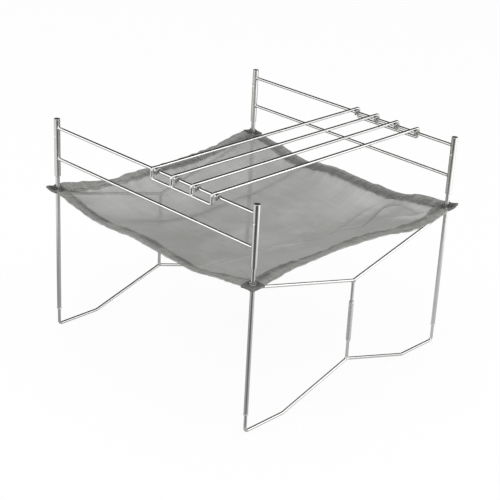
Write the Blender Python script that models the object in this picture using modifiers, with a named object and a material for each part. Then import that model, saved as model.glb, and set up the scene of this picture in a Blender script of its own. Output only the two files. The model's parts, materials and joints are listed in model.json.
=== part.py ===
"""Knock-down wire fire stand: two side frames, two racks, a sliding grate and a slung wire mesh.

Metres, +Z up. X runs from the left side frame to the right one, Y from the near rack to the
far one, and the origin lies on the ground under the middle of the stand.
"""

import math

import bmesh
import bpy
from mathutils import Vector

# Plan of the stand, between the axes of the posts
FRAME_SPACING = 0.360
POST_SPACING = 0.360

# Stock: one wire for frames, racks and grate, and two sizes of tube that slide over each other
WIRE_DIAMETER = 0.0040
POST_DIAMETER = 0.0056
POST_BORE = 0.0046
BARREL_DIAMETER = 0.0062
RACK_TUBE_DIAMETER = 0.0080
RACK_TUBE_BORE = 0.0062
GAP = 0.0003

# Side frame: two posts, an arm wire that drops to the link, and the link's barrel
POST_BOTTOM = 0.0250
PIN_ROUNDING = 0.0012
ARM_HEIGHT = 0.1932
ARM_DROP = 0.0457
LINK_ROD_SHOWING = 0.0265
BARREL_LENGTH = 0.0560
BARREL_CHAMFER = 0.0005
LINK_INSERTION = 0.0200
ARM_BEND_RADIUS = 0.0060

# Foot frame, which plugs into the posts and the barrel
FOOT_HEIGHT_AT_LINK = 0.0371
GROUND_RUN = 0.0647
PLUG_LENGTH = 0.0220
PLUG_CLEARANCE = GAP
FOOT_BEND_RADIUS = 0.0045
SLOPE_BEND_RADIUS = 0.0080

# Racks, which stand on the pins above the eyelets
RACK_STANDOFF = 0.0192
RACK_TUBE_LENGTH = 0.0783
RACK_TUBE_CHAMFER = 0.0004
UPPER_RAIL_BELOW_TOP = 0.0119
LOWER_RAIL_ABOVE_BOTTOM = 0.0245
PIN_STOP_BELOW_RAIL = 0.0110
PIN_STOP_DIAMETER = 0.0024

# Grate, which rests on the upper rails and slides along them
BAR_COUNT = 4
BAR_PITCH = 0.0345
GRATE_OFFSET = 0.0639
GRATE_OVERHANG = 0.0072
GRATE_DROP = 0.0130
GRATE_BEND_RADIUS = 0.0032
HOOK_WIRE_DIAMETER = 0.0034
HOOK_CLEARANCE = 0.0004
HOOK_LEG_BELOW_RAIL = 0.0030
HOOK_ROUNDNESS = 0.96

# Mesh, its hems and its corners
MESH_MARGIN = 0.0100
HEM_WIDTH = 0.0200
MESH_THICKNESS = 0.0010
HEM_THICKNESS = 0.0016
SEAM_GAP = 0.0004
EDGE_PULL = 0.0180
MESH_BELLY = 0.0180
NEAR_EDGE_SAG = 0.0250
FAR_EDGE_SAG = 0.0060
FOLD_DEPTH = 0.0026
FOLDS_PER_CORNER = 3

# The side edges hang over the arm wires, so their sags are shares of the arm's drop
LEFT_SAG_SHARE = 0.13
RIGHT_SAG_SHARE = 0.175
RIGHT_DIP_SHARE = 0.20

# Shape of the slung mesh, in half widths of the flat sheet from its middle
DIP_PLACE_SHARE = 0.60
DIP_WIDTH_SHARE = 0.22
FOLD_REACH_SHARE = 0.62
PULL_POWER = 1.2
SAG_POWER = 2.5
FADE_POWER = 6
QUIET_POWER = 12

# Eyelets
EYELET_BORE = 0.0064
EYELET_BARREL_DIAMETER = 0.0076
EYELET_FLANGE_DIAMETER = 0.0104
EYELET_FLANGE_THICKNESS = 0.0006
PATCH_HOLE_CLEARANCE = 0.0004

# Facets
WIRE_RESOLUTION = 4
WIRE_SIDES = 12
BEND_STEP = math.radians(30)
TURN_STEPS = 16
ROUNDING_STEPS = 2
PANEL_STEPS = 20
HEM_STEPS = 20
HEM_STEPS_ACROSS = 2
PATCH_STEPS = 4

# Places worked out from the sizes above
FLAT_DOWN = math.pi / WIRE_SIDES
GROUND_WIRE_HEIGHT = WIRE_DIAMETER / 2 * math.cos(FLAT_DOWN)
POST_SURFACE = POST_DIAMETER / 2 + GAP
LINK_TOP = ARM_HEIGHT - ARM_DROP
BARREL_TOP = LINK_TOP - WIRE_DIAMETER / 2 - LINK_ROD_SHOWING
BARREL_BOTTOM = BARREL_TOP - BARREL_LENGTH
EYELET_BOTTOM = ARM_HEIGHT + WIRE_DIAMETER / 2 + GAP
EYELET_HEIGHT = 2 * EYELET_FLANGE_THICKNESS + HEM_THICKNESS + 2 * GAP
MESH_LEVEL = EYELET_BOTTOM + EYELET_HEIGHT / 2
RACK_TUBE_BOTTOM = EYELET_BOTTOM + EYELET_HEIGHT + RACK_STANDOFF
RACK_TUBE_TOP = RACK_TUBE_BOTTOM + RACK_TUBE_LENGTH
UPPER_RAIL_HEIGHT = RACK_TUBE_TOP - UPPER_RAIL_BELOW_TOP
LOWER_RAIL_HEIGHT = RACK_TUBE_BOTTOM + LOWER_RAIL_ABOVE_BOTTOM
PIN_STOP_HEIGHT = UPPER_RAIL_HEIGHT - PIN_STOP_BELOW_RAIL
PIN_TOP = PIN_STOP_HEIGHT - PIN_STOP_DIAMETER / 2 - GAP
BAR_HEIGHT = UPPER_RAIL_HEIGHT + WIRE_DIAMETER + GAP
CROSS_WIRE_HEIGHT = BAR_HEIGHT - GRATE_DROP
HALF_FRAME = FRAME_SPACING / 2
HALF_POST = POST_SPACING / 2
HALF_SHEET_WIDTH = HALF_FRAME + MESH_MARGIN
HALF_SHEET_LENGTH = HALF_POST + MESH_MARGIN
SEAM_ACROSS = 1.0 - HEM_WIDTH / HALF_SHEET_WIDTH
SEAM_ALONG = 1.0 - HEM_WIDTH / HALF_SHEET_LENGTH

SIDES = (("right", 1), ("left", -1))
ENDS = (("near", -1), ("far", 1))


def material(name, colour, metallic, roughness):
    """Make a Principled material with one colour."""
    made = bpy.data.materials.new(name)
    made.use_nodes = True
    shader = made.node_tree.nodes["Principled BSDF"]
    shader.inputs["Base Color"].default_value = (*colour, 1.0)
    shader.inputs["Metallic"].default_value = metallic
    shader.inputs["Roughness"].default_value = roughness
    made.diffuse_color = (*colour, 1.0)
    return made


def collection(name):
    """Make a collection in the scene."""
    made = bpy.data.collections.new(name)
    bpy.context.scene.collection.children.link(made)
    return made


def body(name, place, parts):
    """Make the empty that carries the pieces of one body, on its joint's axis."""
    empty = bpy.data.objects.new(name, None)
    empty.location = place
    empty.empty_display_size = 0.02
    parts.objects.link(empty)
    return empty


def add_piece(name, data, place, carrier, parts):
    """Add a piece at a place in the stand, carried by its body's empty."""
    piece = bpy.data.objects.new(name, data)
    piece.parent = carrier
    piece.location = Vector(place) - carrier.location
    parts.objects.link(piece)
    return piece


def bend(corner, before, after, radius):
    """Points of the arc that rounds one corner of a wire."""
    to_before = (before - corner).normalized()
    to_after = (after - corner).normalized()
    half_angle = to_before.angle(to_after) / 2
    reach = radius / math.tan(half_angle)
    centre = corner + (to_before + to_after).normalized() * (radius / math.sin(half_angle))
    first = corner + to_before * reach - centre
    last = corner + to_after * reach - centre
    steps = max(2, math.ceil((math.pi - 2 * half_angle) / BEND_STEP))
    return [centre + radius * first.slerp(last, step / steps) for step in range(steps + 1)]


def bent_path(corners, radii):
    """Points of a wire through its corners, each corner rounded to its own radius."""
    corners = [Vector(corner) for corner in corners]
    points = []
    for index, (corner, radius) in enumerate(zip(corners, radii)):
        if radius == 0.0:
            points.append(corner)
            continue
        after = corners[(index + 1) % len(corners)]
        points += bend(corner, corners[index - 1], after, radius)
    return points


def wire(name, path, diameter, place, finish, carrier, parts, tilt=0.0, closed=False):
    """Make a round wire along a path."""
    curve = bpy.data.curves.new(name, "CURVE")
    curve.dimensions = "3D"
    curve.bevel_depth = diameter / 2
    curve.bevel_resolution = WIRE_RESOLUTION
    curve.use_fill_caps = True
    spline = curve.splines.new("POLY")
    spline.points.add(len(path) - 1)
    spline.use_cyclic_u = closed
    spline.use_smooth = True
    for point, position in zip(spline.points, path):
        point.co = (*position, 1.0)
        point.tilt = tilt
    curve.materials.append(finish)
    return add_piece(name, curve, place, carrier, parts)


def turned(name, profile, place, finish, carrier, parts, closed=False):
    """Turn a profile of radius and height, which runs down its outer side, about a vertical axis."""
    mesh = bpy.data.meshes.new(name)
    outline = bmesh.new()
    corners = [outline.verts.new((radius, 0.0, height)) for radius, height in profile]
    for first, second in zip(corners, corners[1:]):
        outline.edges.new((first, second))
    if closed:
        outline.edges.new((corners[-1], corners[0]))
    outline.to_mesh(mesh)
    outline.free()
    mesh.materials.append(finish)
    piece = add_piece(name, mesh, place, carrier, parts)
    screw = piece.modifiers.new("turn", "SCREW")
    screw.axis = "Z"
    screw.angle = 2 * math.pi
    screw.steps = TURN_STEPS
    screw.render_steps = TURN_STEPS
    screw.use_merge_vertices = True
    screw.merge_threshold = 0.00001
    screw.use_smooth_shade = True
    return piece


def tube_profile(outer, bore, bottom, top, chamfer):
    """Closed profile of an open tube with its outer rims broken."""
    return [
        (outer / 2 - chamfer, top),
        (outer / 2, top - chamfer),
        (outer / 2, bottom + chamfer),
        (outer / 2 - chamfer, bottom),
        (bore / 2, bottom),
        (bore / 2, top),
    ]


def post_profile():
    """Profile of a post: a rounded pin at the top and a socket at the bottom."""
    radius = POST_DIAMETER / 2
    socket_top = POST_BOTTOM + PLUG_LENGTH + PLUG_CLEARANCE
    turns = [math.pi / 2 * step / ROUNDING_STEPS for step in range(ROUNDING_STEPS + 1)]
    rounding = [
        (radius - PIN_ROUNDING * (1 - math.sin(turn)), PIN_TOP - PIN_ROUNDING * (1 - math.cos(turn)))
        for turn in turns
    ]
    return [
        (0.0, PIN_TOP),
        *rounding,
        (radius, POST_BOTTOM),
        (POST_BORE / 2, POST_BOTTOM),
        (POST_BORE / 2, socket_top),
        (0.0, socket_top),
    ]


def barrel_profile():
    """Closed profile of the barrel on the link between the upper and the lower wire."""
    return tube_profile(BARREL_DIAMETER, POST_BORE, BARREL_BOTTOM, BARREL_TOP, BARREL_CHAMFER)


def eyelet_profile():
    """Closed profile of an eyelet: a barrel through the mesh with a flange on each side."""
    height = EYELET_HEIGHT
    flange = EYELET_FLANGE_DIAMETER / 2
    rounding = EYELET_FLANGE_THICKNESS / 2
    barrel = EYELET_BARREL_DIAMETER / 2
    return [
        (flange - rounding, height),
        (flange, height - rounding),
        (flange, height - EYELET_FLANGE_THICKNESS),
        (barrel, height - EYELET_FLANGE_THICKNESS),
        (barrel, EYELET_FLANGE_THICKNESS),
        (flange, EYELET_FLANGE_THICKNESS),
        (flange, rounding),
        (flange - rounding, 0.0),
        (EYELET_BORE / 2, 0.0),
        (EYELET_BORE / 2, height),
    ]


def arm_path():
    """The upper wire of a side frame, from post to post, low at the link."""
    slope = math.atan2(ARM_DROP, HALF_POST)
    end = HALF_POST - POST_SURFACE - WIRE_DIAMETER / 2 * math.sin(slope)
    corners = [
        (0.0, -end, ARM_HEIGHT),
        (0.0, 0.0, LINK_TOP),
        (0.0, end, ARM_HEIGHT),
    ]
    return bent_path(corners, (0.0, ARM_BEND_RADIUS, 0.0))


def foot_path():
    """The foot wire: upturned ends, two stretches on the ground and a rise in the middle."""
    plug_top = POST_BOTTOM + PLUG_LENGTH
    ground_end = HALF_POST - GROUND_RUN
    half = [
        (0.0, -HALF_POST, plug_top),
        (0.0, -HALF_POST, GROUND_WIRE_HEIGHT),
        (0.0, -ground_end, GROUND_WIRE_HEIGHT),
    ]
    middle = [(0.0, 0.0, FOOT_HEIGHT_AT_LINK)]
    corners = half + middle + [(x, -y, z) for x, y, z in reversed(half)]
    half_radii = [0.0, FOOT_BEND_RADIUS, SLOPE_BEND_RADIUS]
    return bent_path(corners, half_radii + [SLOPE_BEND_RADIUS] + half_radii[::-1])


def build_side_frame(side, sign, carrier, steel, parts):
    """Posts, upper wire, link rod and barrel of one side frame."""
    x = sign * HALF_FRAME
    wire(f"{side}_arm_wire", arm_path(), WIRE_DIAMETER, (x, 0, 0), steel, carrier, parts, FLAT_DOWN)
    for end, end_sign in ENDS:
        place = (x, end_sign * HALF_POST, 0)
        turned(f"{side}_{end}_post", post_profile(), place, steel, carrier, parts)
    rod_top = LINK_TOP - WIRE_DIAMETER / 2 - GAP
    rod = [(0.0, 0.0, BARREL_TOP - LINK_INSERTION), (0.0, 0.0, rod_top)]
    wire(f"{side}_link_rod", rod, WIRE_DIAMETER, (x, 0, 0), steel, carrier, parts)
    turned(f"{side}_link_barrel", barrel_profile(), (x, 0, 0), steel, carrier, parts, closed=True)


def build_foot_frame(side, sign, steel, parts):
    """Foot wire and foot rod of one side, which pull down out of the posts and the barrel."""
    x = sign * HALF_FRAME
    carrier = body(f"{side}_foot_frame", (x, 0.0, 0.0), parts)
    wire(f"{side}_foot_wire", foot_path(), WIRE_DIAMETER, (x, 0, 0), steel, carrier, parts, FLAT_DOWN)
    rod_bottom = FOOT_HEIGHT_AT_LINK + WIRE_DIAMETER / 2 + GAP
    rod = [(0.0, 0.0, rod_bottom), (0.0, 0.0, BARREL_BOTTOM + LINK_INSERTION)]
    wire(f"{side}_foot_rod", rod, WIRE_DIAMETER, (x, 0, 0), steel, carrier, parts)


def build_rack(end, end_sign, steel, parts):
    """Two tubes that slide over the pins, joined by an upper and a lower rail."""
    y = end_sign * HALF_POST
    carrier = body(f"{end}_rack", (0.0, y, RACK_TUBE_BOTTOM), parts)
    profile = tube_profile(
        RACK_TUBE_DIAMETER, RACK_TUBE_BORE, RACK_TUBE_BOTTOM, RACK_TUBE_TOP, RACK_TUBE_CHAMFER
    )
    for side, sign in SIDES:
        place = (sign * HALF_FRAME, y, 0)
        turned(f"{end}_{side}_tube", profile, place, steel, carrier, parts, closed=True)
    rail_end = HALF_FRAME - RACK_TUBE_DIAMETER / 2 - GAP
    for level, height in (("upper", UPPER_RAIL_HEIGHT), ("lower", LOWER_RAIL_HEIGHT)):
        rail = [(-rail_end, 0.0, height), (rail_end, 0.0, height)]
        wire(f"{end}_{level}_rail", rail, WIRE_DIAMETER, (0, y, 0), steel, carrier, parts, FLAT_DOWN)
    wall = RACK_TUBE_BORE / 2 - GAP
    stop = [(0.0, end_sign * wall, PIN_STOP_HEIGHT), (0.0, 0.0, PIN_STOP_HEIGHT)]
    for side, sign in SIDES:
        place = (sign * HALF_FRAME, y, 0)
        wire(f"{end}_{side}_pin_stop", stop, PIN_STOP_DIAMETER, place, steel, carrier, parts)


def bar_places():
    """Distance of each bar of the grate from the grate's middle."""
    return [(index - (BAR_COUNT - 1) / 2) * BAR_PITCH for index in range(BAR_COUNT)]


def hook_path(bar, end_sign):
    """A saddle hook beside a bar: over the rail, with a leg down on each side of it."""
    x = bar + WIRE_DIAMETER / 2 + HOOK_WIRE_DIAMETER / 2 + GAP
    half_width = WIRE_DIAMETER / 2 + HOOK_CLEARANCE + HOOK_WIRE_DIAMETER / 2
    crown = UPPER_RAIL_HEIGHT + half_width
    foot = UPPER_RAIL_HEIGHT - HOOK_LEG_BELOW_RAIL
    y = end_sign * HALF_POST
    corners = [
        (x, y - half_width, foot),
        (x, y - half_width, crown),
        (x, y + half_width, crown),
        (x, y + half_width, foot),
    ]
    rounding = half_width * HOOK_ROUNDNESS
    return bent_path(corners, (0.0, rounding, rounding, 0.0))


def build_grate(steel, parts):
    """Outer loop, inner bars and saddle hooks of the grate."""
    carrier = body("grate", (GRATE_OFFSET, 0.0, BAR_HEIGHT), parts)
    place = (GRATE_OFFSET, 0.0, 0.0)
    bars = bar_places()
    first = bars[0]
    last = bars[-1]
    reach = HALF_POST + GRATE_OVERHANG
    corners = [
        (first, -reach, CROSS_WIRE_HEIGHT),
        (first, -reach, BAR_HEIGHT),
        (first, reach, BAR_HEIGHT),
        (first, reach, CROSS_WIRE_HEIGHT),
        (last, reach, CROSS_WIRE_HEIGHT),
        (last, reach, BAR_HEIGHT),
        (last, -reach, BAR_HEIGHT),
        (last, -reach, CROSS_WIRE_HEIGHT),
    ]
    loop = bent_path(corners, [GRATE_BEND_RADIUS] * len(corners))
    wire("grate_loop", loop, WIRE_DIAMETER, place, steel, carrier, parts, closed=True)
    leg_end = CROSS_WIRE_HEIGHT + WIRE_DIAMETER / 2 + GAP
    for number, bar in enumerate(bars[1:-1], start=1):
        corners = [
            (bar, -reach, leg_end),
            (bar, -reach, BAR_HEIGHT),
            (bar, reach, BAR_HEIGHT),
            (bar, reach, leg_end),
        ]
        path = bent_path(corners, (0.0, GRATE_BEND_RADIUS, GRATE_BEND_RADIUS, 0.0))
        wire(f"grate_inner_bar_{number}", path, WIRE_DIAMETER, place, steel, carrier, parts, FLAT_DOWN)
    for end, end_sign in ENDS:
        for number, bar in enumerate(bars, start=1):
            hook = hook_path(bar, end_sign)
            wire(f"{end}_hook_{number}", hook, HOOK_WIRE_DIAMETER, place, steel, carrier, parts)


def edge_pull(place, seam):
    """How far an edge of the mesh is drawn in, at a place along it from -1 to 1."""
    return EDGE_PULL * max(0.0, 1.0 - (place / seam) ** 2) ** PULL_POWER


def edge_sag(depth, place, seam):
    """How far an edge hangs down between its corners, at a place along it from -1 to 1."""
    return depth * max(0.0, 1.0 - abs(place / seam) ** SAG_POWER)


def right_edge_sag(place):
    """The right edge hangs lowest towards the far post."""
    dip = math.exp(-(((place - DIP_PLACE_SHARE) / DIP_WIDTH_SHARE) ** 2))
    fade = max(0.0, 1.0 - abs(place / SEAM_ALONG) ** FADE_POWER)
    return edge_sag(RIGHT_SAG_SHARE * ARM_DROP, place, SEAM_ALONG) + RIGHT_DIP_SHARE * ARM_DROP * dip * fade


def fold_height(across, along):
    """Soft folds that run from each corner towards the middle of the mesh."""
    height = 0.0
    for _, side in SIDES:
        for _, end in ENDS:
            over = 1.0 - across * side
            up = 1.0 - along * end
            distance = math.hypot(over, up) / FOLD_REACH_SHARE
            swell = distance * math.exp((1 - distance**2) / 2)
            turn = math.atan2(up, over) - math.pi / 4
            height += FOLD_DEPTH * swell * math.cos(2 * FOLDS_PER_CORNER * turn)
    return height


def mesh_point(across, along):
    """Where a point of the flat mesh, from -1 to 1 each way, lies in the slung mesh."""
    x = across * (HALF_SHEET_WIDTH - edge_pull(along, SEAM_ALONG))
    y = along * (HALF_SHEET_LENGTH - edge_pull(across, SEAM_ACROSS))
    near = edge_sag(NEAR_EDGE_SAG, across, SEAM_ACROSS) * (1 - along) / 2
    far = edge_sag(FAR_EDGE_SAG, across, SEAM_ACROSS) * (1 + along) / 2
    left = edge_sag(LEFT_SAG_SHARE * ARM_DROP, along, SEAM_ALONG) * (1 - across) / 2
    right = right_edge_sag(along) * (1 + across) / 2
    inside = max(0.0, 1.0 - (across / SEAM_ACROSS) ** 2) * max(0.0, 1.0 - (along / SEAM_ALONG) ** 2)
    quiet = max(0.0, 1.0 - abs(across) ** QUIET_POWER - abs(along) ** QUIET_POWER)
    z = MESH_LEVEL - near - far - left - right - MESH_BELLY * inside
    return Vector((x, y, z + fold_height(across, along) * quiet))


def sheet(name, low, high, steps, thickness, finish, carrier, parts):
    """Make a stretch of the slung mesh, between two corners of the flat sheet, as a thin solid."""
    mesh = bpy.data.meshes.new(name)
    grid = bmesh.new()
    bmesh.ops.create_grid(grid, x_segments=steps[0], y_segments=steps[1], size=1.0)
    centre = carrier.location
    for vert in grid.verts:
        across = low[0] + (high[0] - low[0]) * (vert.co.x + 1) / 2
        along = low[1] + (high[1] - low[1]) * (vert.co.y + 1) / 2
        vert.co = mesh_point(across, along) - centre
    bmesh.ops.recalc_face_normals(grid, faces=grid.faces)
    grid.to_mesh(mesh)
    grid.free()
    mesh.materials.append(finish)
    mesh.shade_smooth()
    piece = add_piece(name, mesh, centre, carrier, parts)
    solid = piece.modifiers.new("thickness", "SOLIDIFY")
    solid.thickness = thickness
    solid.offset = 0.0
    return piece


def post_hole(name, place, cutters):
    """Cutter for the hole that an eyelet's barrel passes through."""
    mesh = bpy.data.meshes.new(name)
    hole = bmesh.new()
    radius = EYELET_BARREL_DIAMETER / 2 + PATCH_HOLE_CLEARANCE
    depth = 4 * HEM_THICKNESS
    bmesh.ops.create_cone(
        hole, cap_ends=True, segments=TURN_STEPS, radius1=radius, radius2=radius, depth=depth
    )
    hole.to_mesh(mesh)
    hole.free()
    cutter = bpy.data.objects.new(name, mesh)
    cutter.location = place
    cutter.hide_render = True
    cutter.display_type = "WIRE"
    cutters.objects.link(cutter)
    return cutter


def build_mesh_bed(weave, hem_weave, steel, parts, cutters):
    """Mesh panel, four hems, and a patch with an eyelet at each corner."""
    carrier = body("mesh_bed", (0.0, 0.0, MESH_LEVEL), parts)
    half_gap = SEAM_GAP / 2
    panel_x = SEAM_ACROSS - half_gap / HALF_SHEET_WIDTH
    panel_y = SEAM_ALONG - half_gap / HALF_SHEET_LENGTH
    hem_x = SEAM_ACROSS + half_gap / HALF_SHEET_WIDTH
    hem_y = SEAM_ALONG + half_gap / HALF_SHEET_LENGTH
    steps = (PANEL_STEPS, PANEL_STEPS)
    low = (-panel_x, -panel_y)
    high = (panel_x, panel_y)
    sheet("mesh_panel", low, high, steps, MESH_THICKNESS, weave, carrier, parts)
    for end, sign in ENDS:
        rows = sorted((sign * hem_y, sign))
        steps = (HEM_STEPS, HEM_STEPS_ACROSS)
        low = (-panel_x, rows[0])
        high = (panel_x, rows[1])
        sheet(f"{end}_hem", low, high, steps, HEM_THICKNESS, hem_weave, carrier, parts)
    for side, sign in SIDES:
        columns = sorted((sign * hem_x, sign))
        steps = (HEM_STEPS_ACROSS, HEM_STEPS)
        low = (columns[0], -panel_y)
        high = (columns[1], panel_y)
        sheet(f"{side}_hem", low, high, steps, HEM_THICKNESS, hem_weave, carrier, parts)
    for end, end_sign in ENDS:
        for side, sign in SIDES:
            columns = sorted((sign * hem_x, sign))
            rows = sorted((end_sign * hem_y, end_sign))
            low = (columns[0], rows[0])
            high = (columns[1], rows[1])
            steps = (PATCH_STEPS, PATCH_STEPS)
            corner = f"{end}_{side}"
            patch = sheet(f"{corner}_corner", low, high, steps, HEM_THICKNESS, hem_weave, carrier, parts)
            place = (sign * HALF_FRAME, end_sign * HALF_POST, MESH_LEVEL)
            cut = patch.modifiers.new("eyelet hole", "BOOLEAN")
            cut.operation = "DIFFERENCE"
            cut.object = post_hole(f"{corner}_hole", place, cutters)
            base = (place[0], place[1], EYELET_BOTTOM)
            turned(f"{corner}_eyelet", eyelet_profile(), base, steel, carrier, parts, closed=True)


def main():
    """Clear the scene and build the stand."""
    for leftover in list(bpy.data.objects):
        bpy.data.objects.remove(leftover, do_unlink=True)
    parts = collection("fire_stand")
    cutters = collection("cutters")
    steel = material("stainless_wire", (0.62, 0.61, 0.59), 1.0, 0.22)
    tube_steel = material("stainless_tube", (0.60, 0.59, 0.57), 1.0, 0.26)
    weave = material("wire_mesh", (0.36, 0.36, 0.34), 0.6, 0.5)
    hem_weave = material("wire_mesh_hem", (0.20, 0.20, 0.19), 0.6, 0.5)
    side_frames = body("side_frames", (0.0, 0.0, ARM_HEIGHT), parts)
    for side, sign in SIDES:
        build_side_frame(side, sign, side_frames, steel, parts)
        build_foot_frame(side, sign, steel, parts)
    for end, end_sign in ENDS:
        build_rack(end, end_sign, tube_steel, parts)
    build_grate(steel, parts)
    build_mesh_bed(weave, hem_weave, steel, parts, cutters)


main()
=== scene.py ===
"""Looks of a knock-down wire fire stand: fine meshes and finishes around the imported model.

Metres, +Z up. X runs from the left side frame to the right one, Y from the near rack to the far
one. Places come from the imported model's own boxes, and what the model can't tell is a field of the
class that uses it.
"""

import json
import logging
import math
import random
from collections.abc import Callable, Iterable, Sequence
from dataclasses import dataclass, field
from enum import Enum
from itertools import accumulate

import bmesh
import bpy
from mathutils import Matrix, Vector, noise


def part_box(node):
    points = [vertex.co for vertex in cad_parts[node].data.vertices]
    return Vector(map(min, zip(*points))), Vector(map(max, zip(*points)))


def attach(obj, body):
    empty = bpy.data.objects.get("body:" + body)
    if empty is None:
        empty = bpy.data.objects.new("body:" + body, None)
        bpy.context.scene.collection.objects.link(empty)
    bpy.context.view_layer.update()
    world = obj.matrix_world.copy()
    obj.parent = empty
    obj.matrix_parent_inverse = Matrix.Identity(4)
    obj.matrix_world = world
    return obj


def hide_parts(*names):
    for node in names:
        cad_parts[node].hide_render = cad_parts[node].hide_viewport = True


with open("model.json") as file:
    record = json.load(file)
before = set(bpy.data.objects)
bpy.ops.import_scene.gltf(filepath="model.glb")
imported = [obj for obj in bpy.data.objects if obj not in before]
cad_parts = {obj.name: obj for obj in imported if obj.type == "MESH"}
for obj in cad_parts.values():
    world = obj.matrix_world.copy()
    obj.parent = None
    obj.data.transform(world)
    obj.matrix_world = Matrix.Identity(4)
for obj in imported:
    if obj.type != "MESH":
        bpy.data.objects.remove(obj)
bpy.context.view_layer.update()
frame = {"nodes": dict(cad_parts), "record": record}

LOG = logging.getLogger("fire_stand")
BODY_OF_NODE = {
    node: body for body, nodes in frame["record"]["behaviour"]["bodies"].items() for node in nodes
}
UP = Vector((0, 0, 1))

Colour = tuple[float, float, float]
Chart = tuple[float, float]
Profile = Sequence[tuple[float, float]]
Drop = Callable[[Vector], Vector]
Material = bpy.types.Material
Node = bpy.types.Node
Object = bpy.types.Object
Socket = bpy.types.NodeSocket
Tree = bpy.types.NodeTree


class Named(Enum):
    """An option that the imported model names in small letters."""

    @property
    def word(self) -> str:
        """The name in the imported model."""
        return self.name.lower()


class Side(Named):
    """The two side frames, by the sign of X."""

    RIGHT = 1
    LEFT = -1


class End(Named):
    """The two ends of the stand, by the sign of Y."""

    NEAR = -1
    FAR = 1


class Edge(Named):
    """The four edges of the mesh: the axis that each lies across, and its side of the middle."""

    NEAR = (1, -1)
    FAR = (1, 1)
    LEFT = (0, -1)
    RIGHT = (0, 1)

    def spot(self, along: float, out: float) -> tuple[float, float]:
        """Flat place of a point, from its place along the edge and its distance out, as shares."""
        axis, sign = self.value
        return (along, sign * out) if axis else (sign * out, along)


class WireEnd(Enum):
    """How a wire's end is finished: distances from the end and radii there, as shares of the radius."""

    BROKEN = ((0.0, 0.80), (0.035, 0.90), (0.10, 0.97), (0.20, 1.0))
    ROUNDED = ((0.0, 0.25), (0.08, 0.50), (0.22, 0.74), (0.42, 0.90), (0.70, 1.0))
    BUTTED = ((0.0, 1.0),)


def centre_of(node: str) -> Vector:
    """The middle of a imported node's box."""
    low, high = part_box(node)
    return (low + high) / 2


def blend(first: float, second: float, share: float) -> float:
    """The value a share of the way from the first to the second."""
    return first + (second - first) * share


def spaced(first: float, last: float, steps: int) -> list[float]:
    """Evenly spaced values from the first to the last."""
    return [blend(first, last, step / steps) for step in range(steps + 1)]


def circle(sides: int) -> list[tuple[float, float]]:
    """Cosine and sine of evenly spaced turns round a circle."""
    turns = (2 * math.pi * side / sides for side in range(sides))
    return [(math.cos(turn), math.sin(turn)) for turn in turns]


def bell(gap: float, width: float) -> float:
    """Fall softly from 1 to 0 as a gap grows past a width."""
    return math.exp(-((gap / width) ** 2))


def smooth_step(value: float) -> float:
    """Ease from 0 to 1 while the value goes from 0 to 1."""
    value = min(1.0, max(0.0, value))
    return value * value * (3.0 - 2.0 * value)


def smooth_curve(points: Profile, place: float) -> float:
    """Read a smooth curve through points at one place.

    Args:
        points: Pairs of place and height, in order of place.
        place: Where the curve is read; it stays level past its ends.

    Returns:
        The height there.
    """
    if place <= points[0][0]:
        return points[0][1]
    if place >= points[-1][0]:
        return points[-1][1]
    index = next(i for i in range(1, len(points)) if place <= points[i][0])
    (x0, y0), (x1, y1) = points[index - 1], points[index]
    before = points[max(0, index - 2)]
    after = points[min(len(points) - 1, index + 1)]
    slope0 = (y1 - before[1]) / (x1 - before[0])
    slope1 = (after[1] - y0) / (after[0] - x0)
    span = x1 - x0
    t = (place - x0) / span
    rise = (2 * t**3 - 3 * t**2 + 1) * y0 + (3 * t**2 - 2 * t**3) * y1
    return rise + span * ((t**3 - 2 * t**2 + t) * slope0 + (t**3 - t**2) * slope1)


def uneven_wave(seed: int, shortest: float, longest: float, span: float) -> Callable[[float], float]:
    """A smooth uneven wave, from about -1 to 1.

    Args:
        seed: Start of its unevenness.
        shortest: Shortest wave length in it.
        longest: Longest wave length in it.
        span: Length that one unit of place stands for.

    Returns:
        The wave as a function of place.
    """
    uneven = random.Random(seed)
    waves = []
    for _ in range(7):
        turns = 2 * math.pi * span / uneven.uniform(shortest, longest)
        waves.append((turns, uneven.uniform(0, 2 * math.pi), uneven.uniform(0.4, 1)))
    total = sum(share for _, _, share in waves) * 0.6

    def wave(place: float) -> float:
        """The wave at one place."""
        return sum(share * math.sin(turns * place + phase) for turns, phase, share in waves) / total

    return wave


def carried_axes(centres: Sequence[Vector], closed: bool) -> list[tuple[Vector, Vector]]:
    """Axes square to a path that are carried along it without turning about it.

    Args:
        centres: Points of the path.
        closed: Whether the path is a loop, whose last axes then meet the first.

    Returns:
        Two axes for each point.
    """
    count = len(centres)
    ways = []
    for index in range(count):
        before = centres[index - 1] if index or closed else centres[0]
        after = centres[(index + 1) % count] if index + 1 < count or closed else centres[-1]
        ways.append((after - before).normalized())
    sides = [ways[0].orthogonal().normalized()]
    for first, second in zip(ways, ways[1:]):
        side = (first.rotation_difference(second) @ sides[-1]).normalized()
        sides.append((side - second * side.dot(second)).normalized())
    if closed:
        last = (ways[-1].rotation_difference(ways[0]) @ sides[-1]).normalized()
        slip = math.atan2(last.cross(sides[0]).dot(ways[0]), last.dot(sides[0]))
        sides = [Matrix.Rotation(slip * i / count, 3, ways[i]) @ sides[i] for i in range(count)]
    return [(side, way.cross(side)) for way, side in zip(ways, sides)]


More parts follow.
